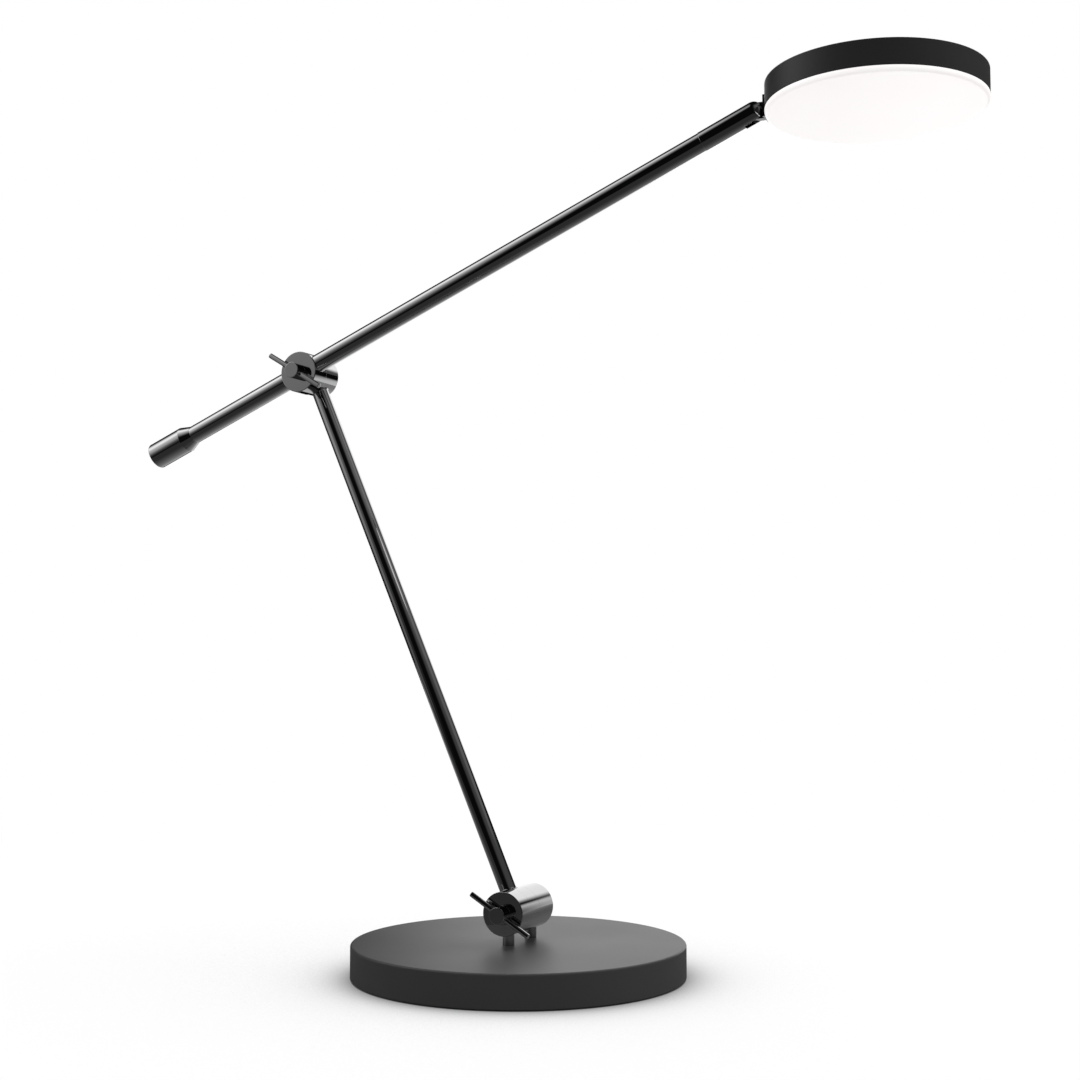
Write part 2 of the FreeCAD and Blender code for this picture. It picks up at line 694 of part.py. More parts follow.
# ---------------------------------------------------------------- lower arm
def lower_arm():
    """Middle knuckle, tube with a plug in each end, cable inside, and the elbow's rear section."""
    deep = "plug_start - thread_play"
    knuckle = cut(
        "middle_knuckle_cut",
        barrel("middle_knuckle_stock", "barrel_radius", KNUCKLE_FRONT, KNUCKLE_BACK),
        bar("middle_knuckle_bore", "bolt_radius + bolt_play", f"knuckle_width + 2 * {SPARE}", "0",
            f"{KNUCKLE_FRONT} - {SPARE}", "0", ALONG_Y),
        bar("middle_knuckle_socket", LOWER_BORE, "barrel_radius", "0", "-lower_forward", deep),
    )
    on_lower_arm(knuckle, "middle_knuckle")

    inner = bar("lower_tube_bore", LOWER_BORE, f"lower_length + 2 * {SPARE}",
                "0", "-lower_forward", f"-{SPARE}")
    foot_saddle = bar("lower_tube_foot_saddle", "barrel_radius + saddle_gap", "4 * lower_radius", "0",
                      "-lower_forward - 2 * lower_radius", "0", ALONG_Y)
    elbow_saddle = bar("lower_tube_elbow_saddle", "elbow_back_radius + saddle_gap", "4 * lower_radius", "0",
                       "-lower_forward - 2 * lower_radius", "lower_length", ALONG_Y)
    outer = bar("lower_tube_stock", "lower_radius", "lower_length", "0", "-lower_forward")
    on_lower_arm(cut("lower_tube_cut", outer, inner, foot_saddle, elbow_saddle), "lower_tube")

    plug_starts = (("lower_plug", "plug_start"), ("upper_plug", "lower_length - plug_start - plug_length"))
    for name, start in plug_starts:
        plug = cut(
            f"{name}_cut",
            bar(f"{name}_stock", f"{LOWER_BORE} - plug_play", "plug_length", "0", "-lower_forward", start),
            bar(f"{name}_bore", "cable_radius + cable_play", f"plug_length + 2 * {SPARE}",
                "0", "-lower_forward", f"{start} - {SPARE}"),
        )
        on_lower_arm(plug, f"{name}_of_lower_tube")
    cable = bar("lower_cable_bar", "cable_radius", "lower_length - 2 * plug_start", "0", "-lower_forward",
                "plug_start")
    on_lower_arm(cable, "lower_arm_cable")

    front = "(-elbow_seam + face_gap)"
    rear = cut(
        "elbow_rear_cut",
        put(barrel("elbow_rear_stock", "elbow_back_radius", front, "elbow_back"), z="lower_length"),
        bar("elbow_rear_bore", "bolt_radius + bolt_play", f"elbow_back - bolt_end - {front} + {SPARE}", "0",
            f"{front} - {SPARE}", "lower_length", ALONG_Y),
        recess("elbow_rear_recess", f"{front} - {SPARE}", "lower_length"),
        bar("elbow_rear_socket", LOWER_BORE, "barrel_radius", "0", "-lower_forward",
            f"lower_length - ({deep}) - barrel_radius"),
    )
    on_lower_arm(rear, "elbow_rear_section")
    on_lower_arm(put(friction_washer("elbow_washer", "-elbow_seam"), z="lower_length"), "elbow_washer")


# ---------------------------------------------------------------- upper arm
def upper_bar(name, radius, start, end):
    """Bar on the upper tube's axis from one distance along the arm to another."""
    return bar(name, radius, f"{end} - ({start})", "-upper_offset", "-upper_forward", start)


def upper_arm():
    """Clamp section on the elbow, tube, counterweight, forked end piece and the cable inside."""
    clamp = cut(
        "elbow_clamp_cut",
        barrel("elbow_clamp_stock", "elbow_radius", "-elbow_front", "-elbow_seam"),
        bar("elbow_clamp_bore", "bolt_radius + bolt_play", "elbow_front", "0", f"-elbow_front - {SPARE}", "0",
            ALONG_Y),
        upper_bar("elbow_clamp_tunnel", "upper_radius + tube_play", "-2 * elbow_radius", "2 * elbow_radius"),
    )
    on_upper_arm(clamp, "elbow_clamp")

    tube = cut(
        "upper_tube_cut",
        upper_bar("upper_tube_stock", "upper_radius", "-tail_length", TUBE_END),
        upper_bar("upper_tube_bore", UPPER_BORE, f"-tail_length - {SPARE}", f"{TUBE_END} + {SPARE}"),
        bar("upper_tube_cross_hole", "bolt_radius + 2 * bolt_play", "4 * upper_radius", "0",
            "-upper_forward - 2 * upper_radius", "0", ALONG_Y),
    )
    on_upper_arm(tube, "upper_tube")

    spigot = f"({UPPER_BORE} - plug_play)"
    weight_end = "(-tail_length - weight_taper - weight_length)"
    weight = turned("counterweight_body", [
        ("0", weight_end),
        ("weight_radius - weight_edge", weight_end),
        ("weight_radius", f"{weight_end} + weight_edge"),
        ("weight_radius", "-tail_length - weight_taper"),
        ("upper_radius", "-tail_length"),
        (spigot, "-tail_length"),
        (spigot, "-tail_length + spigot_length"),
        ("0", "-tail_length + spigot_length"),
    ])
    on_upper_arm(put(weight, "-upper_offset", "-upper_forward", "0"), "counterweight")

    stock = joined(
        "fork_stock",
        upper_bar("fork_spigot", spigot, f"{TUBE_END} - spigot_length", f"{TUBE_END} + {SPARE}"),
        upper_bar("fork_sleeve", "fork_radius", TUBE_END, "fork_reach"),
        put(bind(doc.addObject("Part::Sphere", "fork_end"), Radius="fork_radius"),
            "-upper_offset", "-upper_forward", "fork_reach"),
    )
    slot_length = "slot_depth + 2 * fork_radius"
    fork = cut(
        "fork_cut",
        stock,
        block("fork_slot", "4 * fork_radius", "slot_width", slot_length, "-upper_offset", "-upper_forward",
              "fork_reach - slot_depth"),
        upper_bar("fork_wire_bore", "cable_radius + cable_play", f"{TUBE_END} - spigot_length - {SPARE}",
                  f"fork_reach - slot_depth + {SPARE}"),
        bar("fork_pin_hole", "pivot_radius + pivot_play", "2 * fork_radius - pivot_end", "-upper_offset",
            "-upper_forward - fork_radius + pivot_end", "fork_reach", ALONG_Y),
        bar("fork_head_sink", "pivot_head + pivot_play", "2 * fork_radius", "-upper_offset",
            "-upper_forward + fork_radius - pivot_sink", "fork_reach", ALONG_Y),
    )
    on_upper_arm(fork, "head_fork")
    cable = upper_bar("upper_cable_bar", "cable_radius", "cable_start", "fork_reach - slot_depth")
    on_upper_arm(cable, "upper_arm_cable")


def head_pivot():
    """Screw across the fork and a thin spacer on each side of the head's tongue."""
    head_start = "(fork_radius - pivot_sink + pivot_play)"
    shank_start = "(-fork_radius + pivot_end + pivot_play)"
    screw = joined(
        "pivot_screw_solid",
        bar("pivot_screw_shank", "pivot_radius", f"{head_start} - {shank_start} + pivot_head_height / 2",
            "0", shank_start, "0", ALONG_Y),
        bar("pivot_screw_head", "pivot_head", "pivot_head_height", "0", head_start, "0", ALONG_Y),
    )
    on_head(screw, "head_pivot_screw")
    spacers = []
    for name, start in (("front", "-tongue_thick / 2 - spacer_thick - pivot_play"),
                        ("back", "tongue_thick / 2 + pivot_play")):
        disc = bar(f"spacer_disc_{name}", "spacer_radius", "spacer_thick", "0", start, "0", ALONG_Y)
        hole = bar(f"spacer_hole_{name}", "pivot_radius + pivot_play", f"spacer_thick + 2 * {SPARE}", "0",
                   f"{start} - {SPARE}", "0", ALONG_Y)
        spacers.append(cut(f"spacer_{name}", disc, hole))
    on_head(group("spacer_pair", spacers), "head_pivot_spacers")


# ---------------------------------------------------------------- head
def head_bracket():
    """Tongue that turns in the fork, with a flange that hugs the rim."""
    flange_start = f"({RIM_X} - flange_thick)"
    tongue_end = f"({flange_start} + flange_thick / 2)"
    tongue = block("bracket_tongue", tongue_end, "tongue_thick", "2 * tongue_radius",
                   f"{tongue_end} / 2", "0", "-tongue_radius")
    eye = bar("bracket_eye", "tongue_radius", "tongue_thick", "0", "-tongue_thick / 2", "0", ALONG_Y)
    flange = block("bracket_flange", "2 * flange_thick", "flange_width", "flange_height",
                   f"{flange_start} + flange_thick", "0", "head_rise - flange_height / 2")
    rim = bar("bracket_rim_relief", "rim_radius + flange_gap", "2 * rim_height", HEAD_X, "0",
              "head_rise - rim_height")
    hole = bar("bracket_pin_hole", "pivot_radius + pivot_play", f"tongue_thick + 2 * {SPARE}", "0",
               f"-tongue_thick / 2 - {SPARE}", "0", ALONG_Y)
    tools = [rim, hole]
    for index, side in enumerate(("-bracket_screw_side", "bracket_screw_side")):
        tools.append(bar(f"bracket_thread_{index}", "bracket_screw + thread_play", "2 * flange_thick",
                         f"{flange_start} + bracket_skin", side, "head_rise", ALONG_X))
    on_head(cut("bracket_cut", joined("bracket_stock", tongue, eye, flange), *tools), "head_bracket")


def bracket_screws():
    """Two screws from inside the rim into the bracket's flange."""
    start = f"({RIM_X} - flange_thick + bracket_skin + thread_play)"
    inside = f"({RIM_X} + rim_wall + bracket_seat)"
    screws = []
    for index, side in enumerate(("-bracket_screw_side", "bracket_screw_side")):
        shank = bar(f"bracket_screw_shank_{index}", "bracket_screw",
                    f"{inside} - {start} + bracket_screw_height / 2", start, side, "head_rise", ALONG_X)
        head = bar(f"bracket_screw_head_{index}", "bracket_screw_head", "bracket_screw_height", inside, side,
                   "head_rise", ALONG_X)
        screws.append(joined(f"bracket_screw_{index}", shank, head))
    on_head(group("bracket_screw_pair", screws), "bracket_screws")


def head_housing():
    """Flat spun drum, open underneath, with two screw holes in its wall."""
    inner = "rim_radius - rim_wall"
    shell = turned("housing_shell", [
        ("0", f"{RIM_TOP} - rim_top"),
        (inner, f"{RIM_TOP} - rim_top"),
        (inner, RIM_BOTTOM),
        ("rim_radius", RIM_BOTTOM),
        ("rim_radius", RIM_TOP),
        ("0", RIM_TOP),
    ])
    round_rim(shell, "rim_edge", size("rim_radius"), size("head_rise") + size("rim_height") / 2)
    put(shell, HEAD_X, "0", "0")
    tools = []
    for index, side in enumerate(("-bracket_screw_side", "bracket_screw_side")):
        tools.append(bar(f"housing_hole_{index}", "bracket_screw + thread_play", "4 * rim_wall",
                         f"{RIM_X} - {SPARE}", side, "head_rise", ALONG_X))
    for index, (x, y) in enumerate(on_ring(HEAT_SCREWS, HEAT_RING)):
        tools.append(bar(f"housing_thread_{index}", "heat_screw_radius + thread_play",
                         f"heat_screw_bite + 2 * thread_play + {SPARE}",
                         f"{HEAD_X} + {x}", y, f"{RIM_TOP} - rim_top - {SPARE}"))
    on_head(cut("housing_cut", shell, *tools), "head_housing")


def light_source():
    """Aluminium heat spreader, LED board, the LEDs and three screws that hold them up."""
    spreader = bar("heat_disc", HEAT_RADIUS, "heat_thick", HEAD_X, "0", HEAT_BOTTOM)
    board = bar("led_board_disc", LED_BOARD_RADIUS, "led_board_thick", HEAD_X, "0", LED_BOARD_BOTTOM)
    spreader_tools = []
    board_tools = []
    screws = []
    for index, (x, y) in enumerate(on_ring(HEAT_SCREWS, HEAT_RING)):
        place = (f"{HEAD_X} + {x}", y)
        clear = "heat_screw_radius + thread_play"
        spreader_tools.append(bar(f"heat_hole_{index}", clear, f"heat_thick + 2 * {SPARE}", *place,
                                  f"{HEAT_BOTTOM} - {SPARE}"))
        board_tools.append(bar(f"led_board_hole_{index}", clear, f"led_board_thick + 2 * {SPARE}", *place,
                               f"{LED_BOARD_BOTTOM} - {SPARE}"))
        head = bar(f"heat_screw_head_{index}", "heat_screw_head", "heat_screw_height", *place,
                   f"{LED_BOARD_BOTTOM} - heat_screw_height")
        shank = bar(f"heat_screw_shank_{index}", "heat_screw_radius",
                    "heat_screw_height + led_board_thick + heat_thick + heat_screw_bite",
                    *place, f"{LED_BOARD_BOTTOM} - heat_screw_height")
        screws.append(joined(f"heat_screw_{index}", head, shank))
    on_head(cut("heat_cut", spreader, *spreader_tools), "heat_spreader")
    on_head(cut("led_board_cut", board, *board_tools), "led_board")
    on_head(group("heat_screw_group", screws), "led_board_screws")
    rings = (("outer", OUTER_LEDS, OUTER_LED_RING), ("inner", INNER_LEDS, INNER_LED_RING))
    chips = []
    for name, count, ring in rings:
        for index, (x, y) in enumerate(on_ring(count, ring, 180.0 / count)):
            chips.append(block(f"{name}_chip_{index}", "led_width", "led_width", "led_height",
                               f"{HEAD_X} + {x}", y, f"{LED_BOARD_BOTTOM} - led_height"))
    on_head(group("led_group", chips), "led_chips")


def diffuser():
    """Opal dish in the rim's mouth; its face stands proud and its lower edge is rounded."""
    bottom = f"({RIM_BOTTOM} - diffuser_proud)"
    top = f"({RIM_BOTTOM} + diffuser_depth)"
    inner = f"{DIFFUSER_RADIUS} - diffuser_wall"
    dish = turned("diffuser_dish", [
        ("0", f"{bottom} + diffuser_wall"),
        (inner, f"{bottom} + diffuser_wall"),
        (inner, top),
        (DIFFUSER_RADIUS, top),
        (DIFFUSER_RADIUS, bottom),
        ("0", bottom),
    ])
    edge_radius = size("rim_radius") - size("rim_wall") - size("diffuser_gap")
    edge_height = size("head_rise") - size("rim_height") / 2 - size("diffuser_proud")
    round_rim(dish, "diffuser_edge", edge_radius, edge_height)
    on_head(put(dish, HEAD_X, "0", "0"), "diffuser")


def build():
    """Make every piece."""
    base_cover()
    base_weight()
    base_plate()
    base_plate_screws()
    foot_pad()
    driver()
    base_lead()
    post("front_post", "-post_front")
    post("rear_post", "post_back")
    post_fixings()
    foot_joint()
    clamp_screw("foot_clamp_screw", "-barrel_front", "barrel_back", "0", HINGE_Z)
    lower_arm()
    clamp_screw("elbow_clamp_screw", "-elbow_front", "elbow_back", ELBOW_X, ELBOW_Z)
    upper_arm()
    head_pivot()
    head_bracket()
    bracket_screws()
    head_housing()
    light_source()
    diffuser()
    doc.recompute()


def check_and_write():
    """Stop on any failed object or bad shape, then write one file for each node."""
    for item in doc.Objects:
        if "Invalid" in item.State or "Error" in item.State:
            raise RuntimeError(f"{item.Name} did not recompute: {item.State}")
    for label, item in nodes:
        if item.Shape.isNull() or not item.Shape.isValid() or not item.Shape.Solids:
            raise RuntimeError(f"{label} has no sound solid")
    for label, item in nodes:
        item.Shape.exportStep(f"parts/{label}.step")
        print(f"{label}: {len(item.Shape.Solids)} solid(s), {item.Shape.Volume / 1000.0:.2f} cm3")


build()
check_and_write()
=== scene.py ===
"""Looks of a counterweight balance desk lamp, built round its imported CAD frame.

Metres. X runs towards the head, -Y to the front and Z up; the origin is the middle of the foot's underside.
Sizes are written in millimetres and turned into metres where a surface is made.
"""
import json
import math

import bpy
import numpy as np
from mathutils import Euler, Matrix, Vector


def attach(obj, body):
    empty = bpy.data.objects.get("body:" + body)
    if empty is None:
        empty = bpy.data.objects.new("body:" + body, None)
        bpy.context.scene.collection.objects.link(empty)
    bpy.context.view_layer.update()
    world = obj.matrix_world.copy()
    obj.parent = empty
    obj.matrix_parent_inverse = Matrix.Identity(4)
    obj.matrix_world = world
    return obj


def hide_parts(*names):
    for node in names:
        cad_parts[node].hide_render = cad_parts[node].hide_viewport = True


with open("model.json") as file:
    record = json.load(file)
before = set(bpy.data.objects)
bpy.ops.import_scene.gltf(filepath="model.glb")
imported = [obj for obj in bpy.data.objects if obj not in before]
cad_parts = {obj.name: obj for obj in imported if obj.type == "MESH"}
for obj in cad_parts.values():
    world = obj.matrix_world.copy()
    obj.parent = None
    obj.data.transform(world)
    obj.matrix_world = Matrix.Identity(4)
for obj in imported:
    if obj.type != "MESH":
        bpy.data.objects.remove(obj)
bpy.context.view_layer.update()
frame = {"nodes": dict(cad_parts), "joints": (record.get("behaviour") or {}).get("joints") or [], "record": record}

MM = 0.001
SHARP_ANGLE = math.radians(35)
joints = {joint["name"]: np.array(joint["pos_m"]) / MM for joint in frame["joints"]}
FOOT_HINGE = joints["foot_tilt"]
ELBOW = joints["elbow_tilt"]
PIVOT = joints["head_tilt"]

# ---------------------------------------------------------------- sizes, mm and degrees
FOOT_RADIUS = 100.0
FOOT_HEIGHT = 20.0
COVER_WALL = 1.5
COVER_LIFT = 0.8
SOCKET_Z = 9.5
SOCKET_HOLE = 4.3
SOCKET_CUT = 6.0
POST_RADIUS = 3.5
POST_TOP = 32.0
THREAD_RADIUS = 3.0
THREAD_END = 8.6
POST_PLACES = (("front_post", -13.3), ("rear_post", 17.0))
BARREL_RADIUS = 13.0
KNUCKLES = (
    ("front_knuckle", "base", -21.3, -9.01),
    ("middle_knuckle", "lower_arm", -8.99, 2.69),
    ("rear_knuckle", "base", 2.71, 21.3),
)
FOOT_CLAMP_FACE = -21.3
FOOT_BOLT_END = 17.8
ELBOW_CLAMP_FACE = -21.8
ELBOW_BOLT_END = 2.7
HUB_GAP = 0.1
HUB_RADIUS = 5.0
HUB_LENGTH = 8.0
BOLT_RADIUS = 3.0
CROSS_RADIUS = 1.6
CROSS_HALF = 21.8
CROSS_STAND = 4.0
CROSS_SLOPE = math.radians(31.0)
LOWER_LEAN = math.radians(23.8)
LOWER_RADIUS = 5.25
LOWER_FORWARD = -3.15
LOWER_LENGTH = 363.6
ELBOW_FRONT_RADIUS = 13.0
ELBOW_REAR_RADIUS = 12.6
ELBOW_SEAM = (-8.6, -8.5)
ELBOW_REAR_END = 6.2
UPPER_RISE = math.radians(22.6)
UPPER_RADIUS = 5.87
UPPER_FORWARD = -15.28
UPPER_OFFSET = 0.9
UPPER_START = -92.5
UPPER_END = 295.0
WEIGHT_RADIUS = 8.6
WEIGHT_END = -125.9
WEIGHT_SHOULDER = -100.0
SPIGOT_RADIUS = 4.62
SPIGOT_LENGTH = 20.0
FORK_RADIUS = 6.13
FORK_PIVOT = 328.5
SLOT_WIDTH = 5.1
SLOT_DEPTH = 7.5
SINK_RADIUS = 2.8
SINK_DEPTH = 1.8
CUTTER_PAST = 4.0
RIM_RADIUS = 60.9
RIM_HEIGHT = 14.5
RIM_WALL = 1.2
RIM_TOP = 2.0
DIFFUSER_RADIUS = 59.55
DIFFUSER_DROP = 3.0
DIFFUSER_WALL = 2.0
DIFFUSER_RISE = 3.0
DIFFUSER_EDGE = 2.2
LIP_GAP = 0.05

LOWER_AXIS = np.array([-math.sin(LOWER_LEAN), 0.0, math.cos(LOWER_LEAN)])
UPPER_AXIS = np.array([math.cos(UPPER_RISE), 0.0, math.sin(UPPER_RISE)])
UPPER_NORMAL = np.array([-math.sin(UPPER_RISE), 0.0, math.cos(UPPER_RISE)])
UPPER_FOOT = np.array([ELBOW[0], UPPER_FORWARD, ELBOW[2]]) + UPPER_OFFSET * UPPER_NORMAL
HEAD_CENTRE = PIVOT + np.array([70.0, 0.0, 1.4])
FRONT_TO_BACK = np.array([0.0, 1.0, 0.0])
UP = np.array([0.0, 0.0, 1.0])


# ---------------------------------------------------------------- surfaces
def rounded(outline, radii, steps=7):
    """Outline of (radius, height) points with its inner corners rounded.

    On each corner the arc touches both sides at radius times the tangent of half the turn, and its
    points are the two touching directions mixed by the sines of their shares of the turn.  A guard
    point just past each end of the arc keeps the faces beside it flat when they are shaded.
    """
    outline = np.asarray(outline, float)
    corner = outline[1:-1]
    radii = np.broadcast_to(np.asarray(radii, float), len(corner))[:, None]
    back = outline[:-2] - corner
    onward = outline[2:] - corner
    back /= np.linalg.norm(back, axis=1, keepdims=True)
    onward /= np.linalg.norm(onward, axis=1, keepdims=True)
    turn = np.pi - np.arccos(np.clip((back * onward).sum(1, keepdims=True), -1, 1))
    reach = radii * np.tan(turn / 2)
    middle = back + onward
    centre = corner + middle / np.linalg.norm(middle, axis=1, keepdims=True) * radii / np.cos(turn / 2)
    start = corner + back * reach - centre
    end = corner + onward * reach - centre
    share = np.linspace(0, 1, steps)[None, :, None]
    turned_by = turn[:, :, None]
    arc = np.sin((1 - share) * turned_by) * start[:, None] + np.sin(share * turned_by) * end[:, None]
    arc = centre[:, None] + arc / np.sin(turned_by)
    guard = reach * 1.25
    rows = np.concatenate([(corner + back * guard)[:, None], arc, (corner + onward * guard)[:, None]], axis=1)
    return np.vstack([outline[:1], rows.reshape(-1, 2), outline[-1:]])


def cross_frame(axis):
    """Two unit vectors square to an axis and to each other."""
    helper = UP if abs(axis[2]) < 0.9 else np.array([1.0, 0.0, 0.0])
    side = np.cross(helper, axis)
    side /= np.linalg.norm(side)
    return side, np.cross(axis, side)


def closed_grid(grid):
    """Points and faces of a grid whose rows run along a shape and whose columns run round it.

    Quads join neighbouring rows, the last column joins the first, and a fan of triangles closes
    each end on its middle point.  A row that has shrunk to a point is that middle point alone.
    """
    columns = grid.shape[1]
    spread = np.ptp(grid, axis=1).max(axis=1)
    body = grid[spread > 1e-9]
    rows = len(body)
    points = np.vstack([body.reshape(-1, 3), grid[[0, -1]].mean(axis=1)])
    here = np.arange(columns)
    after = (here + 1) % columns
    row = np.arange(rows - 1)[:, None] * columns
    quads = np.stack([row + here, row + after, row + columns + after, row + columns + here], axis=-1)
    low_pole = np.full(columns, rows * columns)
    last = (rows - 1) * columns
    fans = [np.stack([low_pole, after, here], axis=-1),
            np.stack([low_pole + 1, last + here, last + after], axis=-1)]
    return points, quads.reshape(-1, 4), np.vstack(fans)


def turned(outline, origin, axis, sides=144):
    """Surface of revolution.

    The outline's point at radius r and height h, at angle a, lies at
    origin + h * axis + r * (cos a * side + sin a * across).
    """
    outline = np.asarray(outline, float)
    side, across = cross_frame(axis)
    angle = np.arange(sides) * 2 * np.pi / sides
    ring = np.cos(angle)[:, None] * side + np.sin(angle)[:, None] * across
    grid = (np.asarray(origin) + outline[:, 1, None, None] * axis
            + outline[:, 0, None, None] * ring[None])
    return closed_grid(grid)


def coped_tube(origin, axis, radius, length, foot_bend, top_bend, bead, sides=144, rows=24):
    """Tube on an axis whose two ends are cut to sit on round barrels that lie along Y.

    At angle a round the tube the cut lies where the barrel's circle is, which is the root of
    bend squared less (radius * cos a) squared away from the barrel's middle.  The radius swells
    by the bead, times the square of what is left of one millimetre, close to each cut.
    """
    angle = np.arange(sides) * 2 * np.pi / sides
    side = np.cross(FRONT_TO_BACK, axis)
    across = FRONT_TO_BACK
    low = np.sqrt(foot_bend ** 2 - (radius * np.cos(angle)) ** 2)
    high = length - np.sqrt(top_bend ** 2 - (radius * np.cos(angle)) ** 2)
    near = np.concatenate([np.linspace(0, 1, 7), [1.4]])[:, None]
    share = (np.arange(rows) + 1)[:, None] / (rows + 1)
    middle = (low + near[-1]) * (1 - share) + (high - near[-1]) * share
    along = np.vstack([low + near, middle, high - near[::-1]])
    gap = np.minimum(along - low, high - along)
    swell = radius + bead * np.clip(1 - gap, 0, 1) ** 2
    ring = np.cos(angle)[:, None] * side + np.sin(angle)[:, None] * across
    grid = np.asarray(origin) + along[..., None] * axis + swell[..., None] * ring[None]
    return closed_grid(grid)


def faced_out(points, quads, triangles):
    """Faces whose corners run so that the shape's signed volume is above zero."""
    split = np.vstack([quads[:, [0, 1, 2]], quads[:, [0, 2, 3]], triangles])
    a, b, c = (points[split[:, k]] for k in range(3))
    if (a * np.cross(b, c)).sum() < 0:
        return quads[:, ::-1], triangles[:, ::-1]
    return quads, triangles


def mesh_of(name, shapes):
    """One smooth mesh from several closed shapes in millimetres, hard only at edges over 35 degrees."""
    points, faces, start = [], [], 0
    for shape in shapes:
        quads, triangles = faced_out(*shape)
        faces += (quads + start).tolist() + (triangles + start).tolist()
        points.append(shape[0] * MM)
        start += len(shape[0])
    mesh = bpy.data.meshes.new(name)
    mesh.from_pydata(np.vstack(points).tolist(), [], faces)
    mesh.shade_smooth()
    mesh.set_sharp_from_angle(angle=SHARP_ANGLE)
    return mesh


def carved(name, shapes, cutters):
    """Mesh of the shapes with each cutter taken away."""
    whole = bpy.data.objects.new(name + "_stock", mesh_of(name, shapes))
    bpy.context.scene.collection.objects.link(whole)
    tools = []
    for index, cutter in enumerate(cutters):
        tool = bpy.data.objects.new(f"{name}_cutter_{index}", mesh_of(name, [cutter]))
        bpy.context.scene.collection.objects.link(tool)
        cut = whole.modifiers.new("cut", "BOOLEAN")
        cut.operation = "DIFFERENCE"
        cut.solver = "EXACT"
        cut.object = tool
        tools.append(tool)
    bpy.context.view_layer.update()
    solved = whole.evaluated_get(bpy.context.evaluated_depsgraph_get())
    mesh = bpy.data.meshes.new_from_object(solved)
    mesh.name = name
    mesh.shade_smooth()
    mesh.set_sharp_from_angle(angle=SHARP_ANGLE)
    for spare in [whole, *tools]:
        bpy.data.objects.remove(spare)
    return mesh


def place(name, mesh, body, slot, finish, *stands_for):
    """Links a finished mesh as a piece that rides on a body and stands for CAD nodes."""
    piece = bpy.data.objects.new(name, mesh)
    bpy.context.scene.collection.objects.link(piece)
    mesh.materials.clear()
    mesh.materials.append(finish)
    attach(piece, body)
    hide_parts(*stands_for)


# ---------------------------------------------------------------- finishes
def add(tree, kind, settings=None, **sockets):
    """Node of a kind; each socket gets a value or is linked to another node's output.

    A socket is named by its name, with _ for a space, or by n and its number.
    """
    node = tree.nodes.new(kind)
    for key, value in (settings or {}).items():
        setattr(node, key, value)
    for key, value in sockets.items():
        by_number = key[0] == "n" and key[1:].isdigit()
        socket = node.inputs[int(key[1:]) if by_number else key.replace("_", " ")]
        if isinstance(value, bpy.types.NodeSocket):
            tree.links.new(value, socket)
        else:
            socket.default_value = value
    return node


def noise(tree, scale, detail=3.0, rough=0.55, stretch=(1.0, 1.0, 1.0), turn=(0.0, 0.0, 0.0)):
    """Noise over the piece's own Object coordinates, stretched and turned by a Mapping node."""
    where = add(tree, "ShaderNodeTexCoord").outputs["Object"]
    where = add(tree, "ShaderNodeMapping", Vector=where, Scale=stretch, Rotation=turn).outputs[0]
    return add(tree, "ShaderNodeTexNoise", Vector=where, Scale=scale, Detail=detail, Roughness=rough).outputs[0]


def sums(tree, operation, first, second):
    """One Math node's result."""
    return add(tree, "ShaderNodeMath", {"operation": operation}, n0=first, n1=second).outputs[0]


def between(tree, share, low, high, start=0.3, end=0.7):
    """Number that runs from low to high as share runs from start to end."""
    return add(tree, "ShaderNodeMapRange", Value=share, n1=start, n2=end, n3=low, n4=high).outputs[0]


def shades(tree, share, low, high, start=0.3, end=0.7):
    """Colour that runs from low to high as share runs from start to end."""
    ramp = add(tree, "ShaderNodeValToRGB", Fac=share)
    ramp.color_ramp.elements[0].position = start
    ramp.color_ramp.elements[0].color = (*low, 1.0)
    ramp.color_ramp.elements[1].position = end
    ramp.color_ramp.elements[1].color = (*high, 1.0)
    return ramp.outputs[0]


def shader_of(name, **constants):
    """New material with one Principled shader; its constants are set on the shader's own sockets."""
    finish = bpy.data.materials.new(name)
    finish.use_nodes = True
    tree = finish.node_tree
    tree.nodes.clear()
    shader = add(tree, "ShaderNodeBsdfPrincipled", **constants)
    add(tree, "ShaderNodeOutputMaterial", Surface=shader.outputs[0])
    return finish, tree, shader


def feed(tree, shader, colour=None, roughness=None, heights=()):
    """Links colour and roughness, and a chain of bumps given as (height, depth in metres)."""
    if colour is not None:
        tree.links.new(colour, shader.inputs["Base Color"])
    if roughness is not None:
        tree.links.new(roughness, shader.inputs["Roughness"])
    normal = None
    for height, depth in heights:
        bump = add(tree, "ShaderNodeBump", Height=height, Distance=depth, Strength=1.0)
        if normal is not None:
            tree.links.new(normal, bump.inputs["Normal"])
        normal = bump.outputs[0]
    if normal is not None:
        tree.links.new(normal, shader.inputs["Normal"])


def chrome(name, tone=0.57, haze=(0.028, 0.06), turn=(0.0, 0.0, 0.0)):
    """Polished dark chrome: a faint polishing grain, haze in patches and the least waviness."""
    finish, tree, shader = shader_of(name, Metallic=1.0)
    patches = noise(tree, 34.0, 4.0, 0.6)
    grain = noise(tree, 900.0, 2.0, 0.5, stretch=(1.0, 1.0, 0.08), turn=turn)
    low, high = tone * 0.965, tone * 1.025
    colour = shades(tree, patches, (low, low, low * 1.01), (high, high, high * 1.012))
    feed(tree, shader, colour, between(tree, patches, *haze), [(grain, 1.2e-7)])
    return finish


